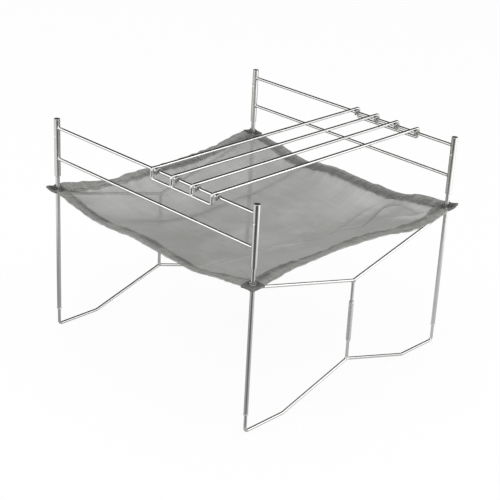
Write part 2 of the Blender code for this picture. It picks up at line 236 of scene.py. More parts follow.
def rounded_corner(corner: Vector, before: Vector, after: Vector, radius: float) -> list[Vector]:
    """Points of the arc that rounds one corner of a wire.

    Args:
        corner: The corner itself.
        before: The corner before it.
        after: The corner after it.
        radius: Radius of the bend on the wire's centre line.

    Returns:
        The points of the arc, in order.
    """
    to_before = (before - corner).normalized()
    to_after = (after - corner).normalized()
    half_angle = to_before.angle(to_after) / 2
    reach = radius / math.tan(half_angle)
    centre = corner + (to_before + to_after).normalized() * (radius / math.sin(half_angle))
    first = corner + to_before * reach - centre
    last = corner + to_after * reach - centre
    steps = max(3, math.ceil((math.pi - 2 * half_angle) / math.radians(9)))
    return [centre + radius * first.slerp(last, step / steps) for step in range(steps + 1)]


def bent_wire(
    corners: Iterable[Sequence[float]], radii: Sequence[float] = (0.0, 0.0), spacing: float = 0.012
) -> list[Vector]:
    """Points of a bent wire.

    Args:
        corners: Where the straight stretches meet.
        radii: Bend radius at each corner, 0 at an end.
        spacing: Most distance between points of a straight stretch.

    Returns:
        The points of the centre line.
    """
    places = [Vector(corner) for corner in corners]
    bent: list[Vector] = []
    for index, (corner, radius) in enumerate(zip(places, radii)):
        if radius == 0.0:
            bent.append(corner)
        else:
            after = places[(index + 1) % len(places)]
            bent += rounded_corner(corner, places[index - 1], after, radius)
    points = [bent[0]]
    for point in bent[1:]:
        start = points[-1]
        steps = max(1, math.ceil((point - start).length / spacing))
        points += [start.lerp(point, step / steps) for step in range(1, steps + 1)]
    return points


def onto_upright(axis: Vector, radius: float) -> Drop:
    """A function that drops a point on to an upright tube, on the point's own side of it.

    Args:
        axis: A point of the tube's axis.
        radius: Radius of the tube.

    Returns:
        The function, which moves a point square to the axis.
    """
    def drop(point: Vector) -> Vector:
        """Move one point on to the tube."""
        out = (point - axis).to_2d().normalized()
        return Vector((axis.x + out.x * radius, axis.y + out.y * radius, point.z))

    return drop


def onto_level_wire(axis: Vector, way: Vector, radius: float, toward: Vector) -> Drop:
    """A function that drops a point on to a wire that runs level.

    Args:
        axis: A point of the wire's centre line.
        way: The way that the wire runs.
        radius: Radius of the wire.
        toward: The way from the wire to the rod that meets it.

    Returns:
        The function, which moves a point along the rod.
    """
    side = way.cross(toward)

    def drop(point: Vector) -> Vector:
        """Move one point on to the wire, kept just short of its flanks."""
        gap = point - axis
        off = gap.dot(side)
        height = math.sqrt(radius**2 - min(abs(off), radius * 0.97) ** 2)
        return axis + way * gap.dot(way) + side * off + toward * height

    return drop


def store_mask(piece: Object, name: str, values: Sequence[float]) -> None:
    """Store a value for each point of a piece, under the name that its finish reads."""
    layer = piece.data.attributes.new(name, "FLOAT", "POINT")
    layer.data.foreach_set("value", values)


def line_bore(piece: Object, finish: Material, middle: Vector, reach: float) -> None:
    """Give a turned piece a second finish inside, whose dark colour is painted shade in the bore.

    Args:
        piece: The piece.
        finish: The finish of its bore.
        middle: A point of its axis.
        reach: Distance from the axis within which a face belongs to the bore.
    """
    piece.data.materials.append(finish)
    for face in piece.data.polygons:
        face.material_index = int((face.center - middle).to_2d().length < reach)


class Upright:
    """The box of an upright round node, with its middle, its radius and the foot of its axis."""

    def __init__(self, node: str) -> None:
        """Measure the node."""
        self.low, self.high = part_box(node)
        self.middle = (self.low + self.high) / 2
        self.radius = (self.high.x - self.low.x) / 2
        self.foot = Vector((self.middle.x, self.middle.y, 0.0))


class MeshDraft:
    """Points, faces and surface coordinates of one piece while it is being made."""

    def __init__(self) -> None:
        """Start an empty draft."""
        self.points: list[Vector] = []
        self.faces: list[tuple[int, ...]] = []
        self.charts: list[list[Chart]] = []

    def _quads(
        self, rows: Sequence[Sequence[Vector]], across: int, along: int, chart: Callable[[int, int], Chart]
    ) -> int:
        """Add rows of points with four-sided faces between them.

        Args:
            rows: Rows with the same number of points each.
            across: Faces in a row; as many as its points where the row closes on itself.
            along: Rows of faces; as many as the rows of points where the last joins the first.
            chart: Surface coordinates of a corner, from its number in its row and its row's number.

        Returns:
            The number of the first new point.
        """
        base, count = len(self.points), len(rows[0])
        for row in rows:
            self.points.extend(row)
        for step in range(along):
            for side in range(across):
                corners = [(side + over, step + up) for over, up in ((0, 0), (1, 0), (1, 1), (0, 1))]
                self.faces.append(tuple(base + up % len(rows) * count + over % count for over, up in corners))
                self.charts.append([chart(over, up) for over, up in corners])
        return base

    def _cap(self, first: int, count: int, last: bool, height: float) -> None:
        """Fill a ring with a fan of faces round its middle.

        Args:
            first: Number of the ring's first point.
            count: How many points the ring has.
            last: Whether it is the last ring, whose cap faces the other way.
            height: The ring's distance along the piece.
        """
        middle = sum(self.points[first:first + count], Vector()) / count
        hub = len(self.points)
        self.points.append(middle)
        for index in range(count):
            pair = (first + index, first + (index + 1) % count)
            face = (*(pair if last else pair[::-1]), hub)
            self.faces.append(face)
            self.charts.append([((self.points[corner] - middle).length, height) for corner in face])

    def loft(
        self,
        rings: Sequence[Sequence[Vector]],
        along: Sequence[float],
        around: Sequence[float],
        closed: bool = False,
    ) -> None:
        """Join closed rings of points, and cap the first and the last where they don't meet.

        Args:
            rings: Rings with the same number of points each.
            along: Distance of each ring along the piece, and one more where it closes on itself.
            around: Distance of each point round its ring, and one more where the ring closes.
            closed: Whether the last ring joins the first.
        """
        count, last = len(rings[0]), len(rings) - 1
        base = self._quads(rings, count, last + closed, lambda over, up: (around[over], along[up]))
        if not closed:
            self._cap(base, count, False, along[0])
            self._cap(base + last * count, count, True, along[last])

    def surface(self, rows: Sequence[Sequence[Vector]], charts: Sequence[Sequence[Chart]]) -> None:
        """Join rows of points into an open sheet, with the flat place of every point in the same rows."""
        self._quads(rows, len(rows[0]) - 1, len(rows) - 1, lambda over, up: charts[up][over])

    def wire(
        self,
        path: Sequence[Vector],
        radius: float,
        ends: tuple[WireEnd, WireEnd] = (WireEnd.BROKEN, WireEnd.BROKEN),
        sides: int = 20,
        closed: bool = False,
    ) -> None:
        """Sweep a round wire along a path.

        Args:
            path: Points of the wire's centre line.
            radius: Radius of the wire.
            ends: How the first and the last end are finished.
            sides: Facets round the wire.
            closed: Whether the path is a loop.
        """
        stations = [(centre, radius) for centre in path]
        if not closed:
            first, last = (
                [
                    (end + (inner - end).normalized() * radius * gone, radius * share)
                    for gone, share in shape.value
                ]
                for end, inner, shape in ((path[0], path[1], ends[0]), (path[-1], path[-2], ends[1]))
            )
            stations = [*first, *stations[1:-1], *reversed(last)]
        centres = [centre for centre, _ in stations]
        rings = [
            [centre + thick * (cos * across + sin * up) for cos, sin in circle(sides)]
            for (centre, thick), (across, up) in zip(stations, carried_axes(centres, closed))
        ]
        gaps = ((second - first).length for first, second in zip(centres, centres[1:] + centres[:1]))
        along = list(accumulate(gaps, initial=0.0))
        self.loft(rings, along, spaced(0.0, 2 * math.pi * radius, sides), closed)

    def turned(
        self,
        profile: Profile,
        place: Vector,
        sides: int = 40,
        closed: bool = True,
        shape: Drop | None = None,
    ) -> None:
        """Turn a profile of radius and height about a vertical axis.

        Args:
            profile: Radius and height of each point; one that isn't closed is capped at its ends.
            place: Foot of the axis.
            sides: Facets round the axis.
            closed: Whether the profile closes on itself, as a tube's does.
            shape: An optional change to each point, measured from the foot of the axis.
        """
        rings = []
        for radius, height in profile:
            ring = [Vector((radius * cos, radius * sin, height)) for cos, sin in circle(sides)]
            rings.append([place + (shape(point) if shape else point) for point in ring])
        gaps = (math.dist(first, second) for first, second in zip(profile, [*profile[1:], profile[0]]))
        widest = max(radius for radius, _ in profile)
        along = list(accumulate(gaps, initial=0.0))
        self.loft(rings, along, spaced(0.0, 2 * math.pi * widest, sides), closed)

    def fillet(self, centre: Vector, away: Vector, rod: float, leg: float, host: Drop, seed: int) -> None:
        """Add the fillet of weld metal where a rod's end meets another piece.

        Args:
            centre: A point on the rod's axis, near the joint.
            away: Way along the rod, away from the joint.
            rod: Radius of the rod.
            leg: How far the fillet reaches along the rod and along the host.
            host: Drops a point on to the surface of the piece that the rod meets.
            seed: Start of the small unevenness of the bead.
        """
        side = away.orthogonal().normalized()
        up = away.cross(side)
        uneven = random.Random(seed)
        phases = [uneven.uniform(0, 2 * math.pi) for _ in range(3)]
        sunk = away * -0.0003
        sides = 28
        sections = []
        for index in range(sides):
            turn = 2 * math.pi * index / sides
            out = math.cos(turn) * side + math.sin(turn) * up
            wave = sum(math.sin((k + 2) * turn + phase) for k, phase in enumerate(phases)) / 3
            reach = leg * (1 + 0.22 * wave)
            root = host(centre + out * rod)
            toe = host(centre + out * (rod + reach))
            shoulder = root + away * reach
            throat = root + (out + away) * reach * 0.36
            inner = shoulder - out * 0.0004
            spoke = inner - centre
            sections.append([
                inner,
                shoulder + out * 0.00002,
                shoulder.lerp(throat, 0.55) + (out + away) * reach * 0.02,
                throat,
                toe.lerp(throat, 0.45) + away * reach * 0.02,
                toe + sunk,
                host(centre + spoke.project(side) * 0.7 + spoke.project(up) * 0.7) + sunk,
            ])
        rings = list(zip(*sections))
        along = [leg * step / 3 for step in range(len(rings) + 1)]
        self.loft(rings, along, spaced(0.0, 2 * math.pi * rod, sides), closed=True)

    def lump(self, centre: Vector, sizes: Vector, seed: int) -> None:
        """Add a small lump of weld metal, such as the one between two crossed wires.

        Args:
            centre: Its middle.
            sizes: Half its length along X, Y and Z.
            seed: Start of its unevenness.
        """
        phase = random.Random(seed).uniform(0, 2 * math.pi)
        sides, levels = 18, 9
        rings = []
        for level in range(1, levels):
            lean = math.pi * level / levels
            ring = []
            for index in range(sides):
                turn = 2 * math.pi * index / sides
                bulge = 1 + 0.08 * math.sin(3 * turn + phase) * math.sin(lean)
                way = (math.sin(lean) * math.cos(turn), math.sin(lean) * math.sin(turn), math.cos(lean))
                ring.append(centre + Vector(way) * sizes * bulge)
            rings.append(ring)
        along = [sizes.z * level for level in range(levels)]
        self.loft(rings, along, spaced(0.0, 2 * math.pi * sizes.x, sides))

    def piece(self, name: str, material: Material, closed: bool = True) -> Object:
        """Make the draft an object of the scene.

        Args:
            name: The piece's name.
            material: Its finish.
            closed: Whether the surface is closed, so that its faces can be turned outward.

        Returns:
            The new object, at the origin.
        """
        mesh = bpy.data.meshes.new(name)
        mesh.from_pydata([tuple(point) for point in self.points], [], self.faces)
        layer = mesh.uv_layers.new(name="flat")
        layer.data.foreach_set("uv", [part for chart in self.charts for place in chart for part in place])
        if closed:
            solid = bmesh.new()
            solid.from_mesh(mesh)
            bmesh.ops.recalc_face_normals(solid, faces=solid.faces)
            solid.to_mesh(mesh)
            solid.free()
        mesh.shade_smooth()
        mesh.set_sharp_from_angle(angle=math.radians(50))
        mesh.materials.append(material)
        made = bpy.data.objects.new(name, mesh)
        bpy.context.scene.collection.objects.link(made)
        return made

    def dressed(
        self,
        node: str,
        word: str,
        finish: Material,
        welds: Sequence[Vector] = (),
        heat: float = 0.006,
        closed: bool = True,
    ) -> Object:
        """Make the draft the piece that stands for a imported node, on the body that carries it.

        Args:
            node: The node that it replaces.
            word: What the piece's name adds to the node's.
            finish: Its finish.
            welds: Middles of its welds.
            heat: Distance over which the heat of a weld fades.
            closed: Whether the surface is closed.

        Returns:
            The piece.
        """
        piece = self.piece(f"{node}_{word}", finish, closed)
        if welds:
            near = [min((vertex.co - weld).length for weld in welds) for vertex in piece.data.vertices]
            store_mask(piece, "weld", [bell(gap, heat) for gap in near])
        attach(piece, BODY_OF_NODE[node])
        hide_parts(node)
        return piece


class NodeSketch:
    """A short way to place and wire the nodes of a shader tree."""

    def __init__(self, tree: Tree) -> None:
        """Work on one node tree."""
        self.tree = tree

    def feed(self, node: Node, sockets: dict[str | int, object]) -> Node:
        """Fill a node's inputs.

        Args:
            node: The node.
            sockets: A value, or another node's output, for each input by name or number.

        Returns:
            The node.
        """
        for key, value in sockets.items():
            if isinstance(value, Socket):
                self.tree.links.new(value, node.inputs[key])
            else:
                node.inputs[key].default_value = value
        return node

    def add(self, kind: str, sockets: dict[str | int, object] | None = None, **settings: object) -> Node:
        """Add a shader node.

        Args:
            kind: Blender's name for the node, without its first words.
            sockets: A value, or another node's output, for each input by name or number.
            **settings: Properties of the node.

        Returns:
            The new node.
        """
        node = self.tree.nodes.new(f"ShaderNode{kind}")
        for key, value in settings.items():
            setattr(node, key, value)
        return self.feed(node, sockets or {})

    def math(self, operation: str, *values: float | Socket) -> Socket:
        """Add a Math node and give its output."""
        return self.add("Math", dict(enumerate(values)), operation=operation).outputs[0]

    def between(
        self, value: Socket, low: float, high: float, start: float = 0.0, end: float = 1.0
    ) -> Socket:
        """Map a value from one range to another, held at its ends, and give the output."""
        sockets = {"Value": value, "From Min": low, "From Max": high, "To Min": start, "To Max": end}
        return self.add("MapRange", sockets, clamp=True).outputs["Result"]

    def mix(self, share: float | Socket, first: object, second: object) -> Socket:
        """Mix two colours and give the output."""
        return self.add("Mix", {0: share, 6: first, 7: second}, data_type="RGBA").outputs[2]

    def noise(self, place: Socket, scale: float | Socket, detail: float, roughness: float = 0.5) -> Socket:
        """Add a noise texture and give its value."""
        sockets = {"Vector": place, "Scale": scale, "Detail": detail, "Roughness": roughness}
        return self.add("TexNoise", sockets).outputs["Fac"]

    def split(self, vector: Socket) -> tuple[Socket, Socket, Socket]:
        """Give the three parts of a vector."""
        return tuple(self.add("SeparateXYZ", {0: vector}).outputs)

    def join(self, x: Socket, y: Socket) -> Socket:
        """Give a flat vector from its two parts."""
        return self.add("CombineXYZ", {"X": x, "Y": y}).outputs[0]

    def mask(self, name: str) -> Socket:
        """Give the mask that a piece stores under a name, 0 where it stores none."""
        return self.add("Attribute", attribute_name=name).outputs["Fac"]

    def flat(self) -> Socket:
        """Give the surface coordinates of a piece."""
        return self.add("UVMap", uv_map="flat").outputs[0]

    def group(self, tree: Tree, sockets: dict[str, object]) -> bpy.types.NodeOutputs:
        """Place a node group with its own values and give its outputs."""
        return self.add("Group", sockets, node_tree=tree).outputs


class MaterialSketch(NodeSketch):
    """A material while its nodes are being placed."""

    def __init__(self, name: str) -> None:
        """Start the material."""
        self.material = bpy.data.materials.new(name)
        self.material.use_nodes = True
        super().__init__(self.material.node_tree)
        self.shader = self.tree.nodes["Principled BSDF"]

    def show(self, surface: Socket) -> None:
        """Let the material show another surface than its Principled shader."""
        self.feed(self.tree.nodes["Material Output"], {"Surface": surface})


class NodeGroup(NodeSketch):
    """A shader node group with named inputs and outputs, while it is being made."""

    def __init__(self, name: str, inputs: dict[str, object]) -> None:
        """Start the group.

        Args:
            name: The group's name.
            inputs: Default of each input: a number, a colour, or None for a vector.
        """
        super().__init__(bpy.data.node_groups.new(name, "ShaderNodeTree"))
        for label, default in inputs.items():
            kind = "Vector" if default is None else "Color" if isinstance(default, tuple) else "Float"
            socket = self.tree.interface.new_socket(
                name=label, in_out="INPUT", socket_type=f"NodeSocket{kind}"
            )
            if default is not None:
                socket.default_value = default
        self.given = self.tree.nodes.new("NodeGroupInput").outputs

    def put_out(self, outputs: dict[str, Socket]) -> Tree:
        """Give the group its outputs.

        Args:
            outputs: The colour or value that each output gives.

        Returns:
            The finished group.
        """
        for label, value in outputs.items():
            kind = "Color" if value.type == "RGBA" else "Float"
            self.tree.interface.new_socket(name=label, in_out="OUTPUT", socket_type=f"NodeSocket{kind}")
        self.feed(self.tree.nodes.new("NodeGroupOutput"), outputs)
        return self.tree


class Effects:
    """Shader node groups that more than one finish uses, each built once."""

    straw: Colour = (0.50, 0.41, 0.26)
    burnt: Colour = (0.20, 0.16, 0.15)

    def __init__(self) -> None:
        """Build every group."""
        self.drawn_lines = self._drawn_lines()
        self.handling = self._handling()
        self.weld_heat = self._weld_heat()
        self.weave = self._weave()
        self.sheet_tone = self._sheet_tone()

    def _drawn_lines(self) -> Tree:
        """Fine lines left along a wire or tube by drawing it through a die."""
        group = NodeGroup("drawn_lines", {"Vector": None, "Line Width": 0.0002, "Line Length": 0.03})
        x, y, _ = group.split(group.given["Vector"])
        across = group.math("DIVIDE", x, group.given["Line Width"])
        along = group.math("DIVIDE", y, group.given["Line Length"])
        height = group.noise(group.join(across, along), 1.0, 3.0, 0.6)
        return group.put_out({"Height": height, "Lines": group.between(height, 0.52, 0.70)})

    def _handling(self) -> Tree:
        """Soft smudges and small specks from handling."""
        group = NodeGroup("handling_marks", {"Vector": None, "Smudge Size": 0.02})
        place = group.given["Vector"]
        scale = group.math("DIVIDE", 1.0, group.given["Smudge Size"])
        soft = group.between(group.noise(place, scale, 4.0, 0.55), 0.42, 0.68)
        specks = group.add("TexVoronoi", {"Vector": place, "Scale": group.math("MULTIPLY", scale, 22.0)})
        dots = group.between(specks.outputs["Distance"], 0.05, 0.16, 1.0, 0.0)
        return group.put_out({"Smudge": soft, "Speck": group.math("MULTIPLY", dots, soft)})

    def _weld_heat(self) -> Tree:
        """Straw and brown heat colours that fade away from a weld."""
        group = NodeGroup("weld_heat", {"Metal": (0.6, 0.6, 0.6, 1.0), "Nearness": 0.0, "Vector": None})
        near = group.given["Nearness"]
        shift = group.between(group.noise(group.given["Vector"], 420.0, 2.0), 0.3, 0.7, -0.12, 0.12)
        near = group.math("MULTIPLY_ADD", shift, near, near)
        colour = group.given["Metal"]
        for low, high, most, heated in ((0.20, 0.60, 0.10, self.straw), (0.60, 0.98, 0.14, self.burnt)):
            colour = group.mix(group.between(near, low, high, 0.0, most), colour, opaque(heated))
        return group.put_out({"Colour": colour, "Dull": group.between(near, 0.45, 1.0)})

    def _weave(self) -> Tree:
        """Plain weave of round wires, over one and under one."""
        group = NodeGroup("plain_weave", {"Vector": None, "Pitch": 0.0008, "Wire Share": 0.5})
        x, y, _ = group.split(group.given["Vector"])
        counts = [group.math("DIVIDE", part, group.given["Pitch"]) for part in (x, y)]
        half = group.math("MULTIPLY", group.given["Wire Share"], 0.5)
        heights, masks = [], []
        for this, other, lift in ((*counts, 0.0), (*counts[::-1], 1.0)):
            off = group.math("ABSOLUTE", group.math("SUBTRACT", group.math("FRACT", this), 0.5))
            round_top = group.math("SUBTRACT", 1.0, group.math("POWER", group.math("DIVIDE", off, half), 2.0))
            turn = group.math("ADD", group.math("ADD", group.math("FLOOR", this), other), lift)
            wave = group.math("SINE", group.math("MULTIPLY", turn, math.pi))
            masks.append(group.math("GREATER_THAN", round_top, 0.0))
            crown = group.math("MULTIPLY_ADD", wave, 0.7, round_top)
            heights.append(group.math("MULTIPLY", crown, masks[-1]))
        return group.put_out({
            "Height": group.math("MAXIMUM", *heights),
            "Holes": group.math("SUBTRACT", 1.0, group.math("MAXIMUM", *masks)),
        })

    def _sheet_tone(self) -> Tree:
        """Uneven tone of woven cloth: streaks along both sets of wires, and soft patches."""
        group = NodeGroup("sheet_tone", {"Vector": None, "Streak Width": 0.002, "Patch Size": 0.06})
        x, y, _ = group.split(group.given["Vector"])
        streaks = []
        for this, other in ((x, y), (y, x)):
            fine = group.math("DIVIDE", this, group.given["Streak Width"])
            place = group.join(fine, group.math("MULTIPLY", other, 9.0))
            streaks.append(group.noise(place, 1.0, 2.0))
        both = group.math("MULTIPLY", group.math("ADD", *streaks), 0.5)
        scale = group.math("DIVIDE", 1.0, group.given["Patch Size"])
        patches = group.noise(group.given["Vector"], scale, 3.0)
        return group.put_out({
            "Streaks": group.between(both, 0.35, 0.65), "Patches": group.between(patches, 0.35, 0.65),
        })


def opaque(colour: Iterable[float]) -> tuple[float, ...]:
    """A colour with the alpha that a socket asks for."""
    return (*colour, 1.0)


@dataclass(frozen=True)
class SteelFinish:
    """Polished stainless wire or tube."""

    name: str
    colour: Colour
    roughness: float
    line_width: float = 0.00022
    line_length: float = 0.035
    line_depth: float = 0.0000012
    smudge_size: float = 0.018
    dulling: float = 0.86
    speck: Colour = (0.30, 0.29, 0.27)

    def material(self, effects: Effects) -> Material:
        """Build the finish as a material.

        Args:
            effects: The shared node groups.

        Returns:
            The material.
        """
        sketch = MaterialSketch(self.name)
        times = "MULTIPLY"
        place = sketch.add("TexCoord").outputs["Object"]
        lines = sketch.group(effects.drawn_lines, {
            "Vector": sketch.flat(), "Line Width": self.line_width, "Line Length": self.line_length,
        })
        marks = sketch.group(effects.handling, {"Vector": place, "Smudge Size": self.smudge_size})
        heat = sketch.group(effects.weld_heat, {
            "Metal": opaque(self.colour), "Nearness": sketch.mask("weld"), "Vector": place,
        })
        dulled = opaque(channel * self.dulling for channel in self.colour)
        colour = sketch.mix(sketch.math(times, marks["Smudge"], 0.4), heat["Colour"], dulled)
        colour = sketch.mix(sketch.math(times, marks["Speck"], 0.12), colour, opaque(self.speck))
        rough = self.roughness
        for mask, gain in ((marks["Smudge"], 0.07), (lines["Lines"], 0.05), (heat["Dull"], 0.14)):
            rough = sketch.math("MULTIPLY_ADD", mask, gain, rough)
        bump = {"Strength": 1.0, "Distance": self.line_depth, "Height": lines["Height"]}
        normal = sketch.add("Bump", bump).outputs["Normal"]
        sketch.feed(sketch.shader, {
            "Metallic": 1.0, "Base Color": colour, "Roughness": rough, "Normal": normal,
        })
        return sketch.material


@dataclass(frozen=True)
class WovenFinish:
    """Fine woven stainless wire, in one open layer or folded over."""

    name: str
    light: Colour
    dark: Colour
    wire_share: float = 0.36
    see_through: bool = False
    pitch: float = 0.00085
    patch_size: float = 0.05
    weave_depth: float = 0.00009
    roughness: float = 0.46
    metallic: float = 0.35
    # Painted light: seen at a slant, the colour is lightened toward the highlight colour below, a painted
    # sheen. That colour also paints the bright creases.
    slant_gain: float = 0.0
    worn: Colour = (0.75, 0.75, 0.73)
    # Share of the dark colour kept in the painted shade of creases, seams and pins.
    sinking: float = 0.45
    openness: float = 0.55

    def material(self, effects: Effects) -> Material:
        """Build the finish as a material.

        Args:
            effects: The shared node groups.

        Returns:
            The material.
        """
        sketch = MaterialSketch(self.name)
        flat = sketch.flat()
        weave = sketch.group(effects.weave, {
            "Vector": flat, "Pitch": self.pitch, "Wire Share": blend(self.wire_share, 1.0, 0.3),
        })
        tone = sketch.group(effects.sheet_tone, {
            "Vector": flat, "Streak Width": self.pitch * 2.6, "Patch Size": self.patch_size,
        })
        crease = sketch.mask("crease")
        slant = sketch.add("LayerWeight", {"Blend": 0.5}).outputs["Facing"]
        worn, dark = opaque(self.worn), opaque(self.dark)
        # The dark colour darkened again: the colour of the painted shade.
        sunk = opaque(channel * self.sinking for channel in self.dark)
        share = sketch.math("MULTIPLY_ADD", tone["Streaks"], 0.55, 0.10)
        share = sketch.math("MULTIPLY_ADD", tone["Patches"], 0.35, share)
        colour = sketch.mix(share, dark, opaque(self.light))
        for mask, other in (
            # painted sheen: lighter where the sheet is seen at a slant
            (sketch.between(slant, 0.50, 0.80, 0.0, self.slant_gain), worn),
            # painted shade in the gaps between the wires
            (sketch.math("MULTIPLY", weave["Holes"], 0.30), dark),
            # painted shade along the dark creases
            (sketch.math("MAXIMUM", crease, 0.0), sunk),
            # painted highlight along the bright creases
            (sketch.math("MAXIMUM", sketch.math("MULTIPLY", crease, -1.0), 0.0), worn),
            # painted shade from the shade mask
            (sketch.mask("shade"), sunk),
        ):
            colour = sketch.mix(mask, colour, other)
        rough = sketch.math("MULTIPLY_ADD", tone["Patches"], 0.10, self.roughness - 0.05)
        bump = {"Strength": 0.55, "Distance": self.weave_depth, "Height": weave["Height"]}
        normal = sketch.add("Bump", bump).outputs["Normal"]
        sketch.feed(sketch.shader, {
            "Metallic": self.metallic, "Base Color": colour, "Roughness": rough, "Normal": normal,
        })
        if self.see_through:
            sketch.feed(sketch.shader, {"Alpha": self.cover(sketch, slant, weave["Holes"], tone["Streaks"])})
        return sketch.material

    def cover(self, sketch: MaterialSketch, slant: Socket, holes: Socket, streaks: Socket) -> Socket:
        """How much of what lies behind the sheet it covers.

        A woven sheet closes up when it is seen at a slant, because its round wires then stand in
        front of its holes. The open share follows from the share of the pitch that a wire takes.

        Args:
            sketch: The material.
            slant: How far the surface is turned away, from 0 to 1.
            holes: Mask of the holes.
            streaks: The uneven tone along the wires.

        Returns:
            The alpha.
        """
        upright = sketch.math("MAXIMUM", sketch.math("SUBTRACT", 1.0, slant), 0.02)
        covered = sketch.math("DIVIDE", self.wire_share, upright)
        gap = sketch.math("MAXIMUM", sketch.math("SUBTRACT", 1.0, covered), 0.0)
        seen = sketch.math("MULTIPLY", gap, (1.0 - self.wire_share) * self.openness)
        seen = sketch.math("MULTIPLY", seen, sketch.math("MULTIPLY_ADD", holes, 0.9, 0.72))
        seen = sketch.math("MULTIPLY", seen, sketch.between(streaks, 0.0, 1.0, 0.88, 1.12))
        return sketch.math("SUBTRACT", 1.0, seen)


class Finishes:
    """Every finish of the stand, built once."""

    def __init__(self, effects: Effects) -> None:
        """Build the materials."""
        self.wire = SteelFinish("polished_wire", (0.63, 0.63, 0.618), 0.12).material(effects)
        self.tube = SteelFinish(
            "polished_tube", (0.61, 0.608, 0.595), 0.14, line_width=0.0003, line_depth=0.0000018
        ).material(effects)
        self.hook = SteelFinish("welded_hook", (0.34, 0.338, 0.328), 0.13).material(effects)
        self.eyelet = SteelFinish(
            "pressed_eyelet", (0.60, 0.595, 0.58), 0.13, line_length=0.004, smudge_size=0.006
        ).material(effects)
        self.thread = SteelFinish(
            "steel_thread", (0.22, 0.22, 0.21), 0.50, line_length=0.002, smudge_size=0.004
        ).material(effects)
        # The bore's dark colour is painted shade inside the tubes and eyelets.
        self.bore = SteelFinish(
            "dull_bore", (0.10, 0.098, 0.095), 0.55, line_depth=0.000008, smudge_size=0.008
        ).material(effects)
        self.mesh = WovenFinish(
            "woven_mesh", (0.49, 0.492, 0.47), (0.355, 0.357, 0.337), see_through=True, slant_gain=0.28
        ).material(effects)
        self.hem = WovenFinish(
            "folded_mesh", (0.56, 0.562, 0.535), (0.24, 0.242, 0.226), patch_size=0.0045, weave_depth=0.00012
        ).material(effects)
        self.patch = WovenFinish(
            "folded_corner", (0.36, 0.362, 0.344), (0.15, 0.152, 0.142), patch_size=0.003, weave_depth=0.00014
        ).material(effects)


@dataclass(kw_only=True)
class WireWork:
    """What the sub-assemblies of wire share: their stock, their welds and their finishes."""

    finishes: Finishes
    wire_radius: float = 0.0020
    weld_leg: float = 0.0011
    rod_overlap: float = 0.0006
    rod_sink: float = 0.0003

    def weld(self, draft: MeshDraft, joint: Vector, away: Vector, host: Drop, seed: int) -> None:
        """Weld the end of a wire to what it meets, as MeshDraft.fillet does."""
        draft.fillet(joint, away, self.wire_radius, self.weld_leg, host, seed)

    def drawn(self, draft: MeshDraft, node: str, welds: Sequence[Vector], heat: float = 0.006) -> None:
        """Dress a draft as the drawn wire of a node, with the middles of its welds."""
        draft.dressed(node, "drawn", self.finishes.wire, welds, heat)

    def build_rod(self, node: str, way: int, loose: WireEnd, seed: int) -> None:
        """Make an upright rod that is welded to a level wire.

        Args:
            node: The rod's node.
            way: 1 where the rod stands on the wire, -1 where it hangs from it.
            loose: How its other end is finished.
            seed: Start of the unevenness of the weld.
        """
        box = Upright(node)
        foot, tip = (box.low.z, box.high.z)[::way]
        joint = box.foot + UP * (foot - way * self.rod_overlap)
        draft = MeshDraft()
        path = bent_wire([joint, box.foot + UP * tip][::way], spacing=0.006)
        draft.wire(path, self.wire_radius, (WireEnd.BUTTED, loose)[::way])
        axis = joint - UP * (way * (self.wire_radius - self.rod_sink))
        host = onto_level_wire(axis, Vector((0, 1, 0)), self.wire_radius, UP * way)
        self.weld(draft, joint, UP * way, host, seed)
        self.drawn(draft, node, [joint])


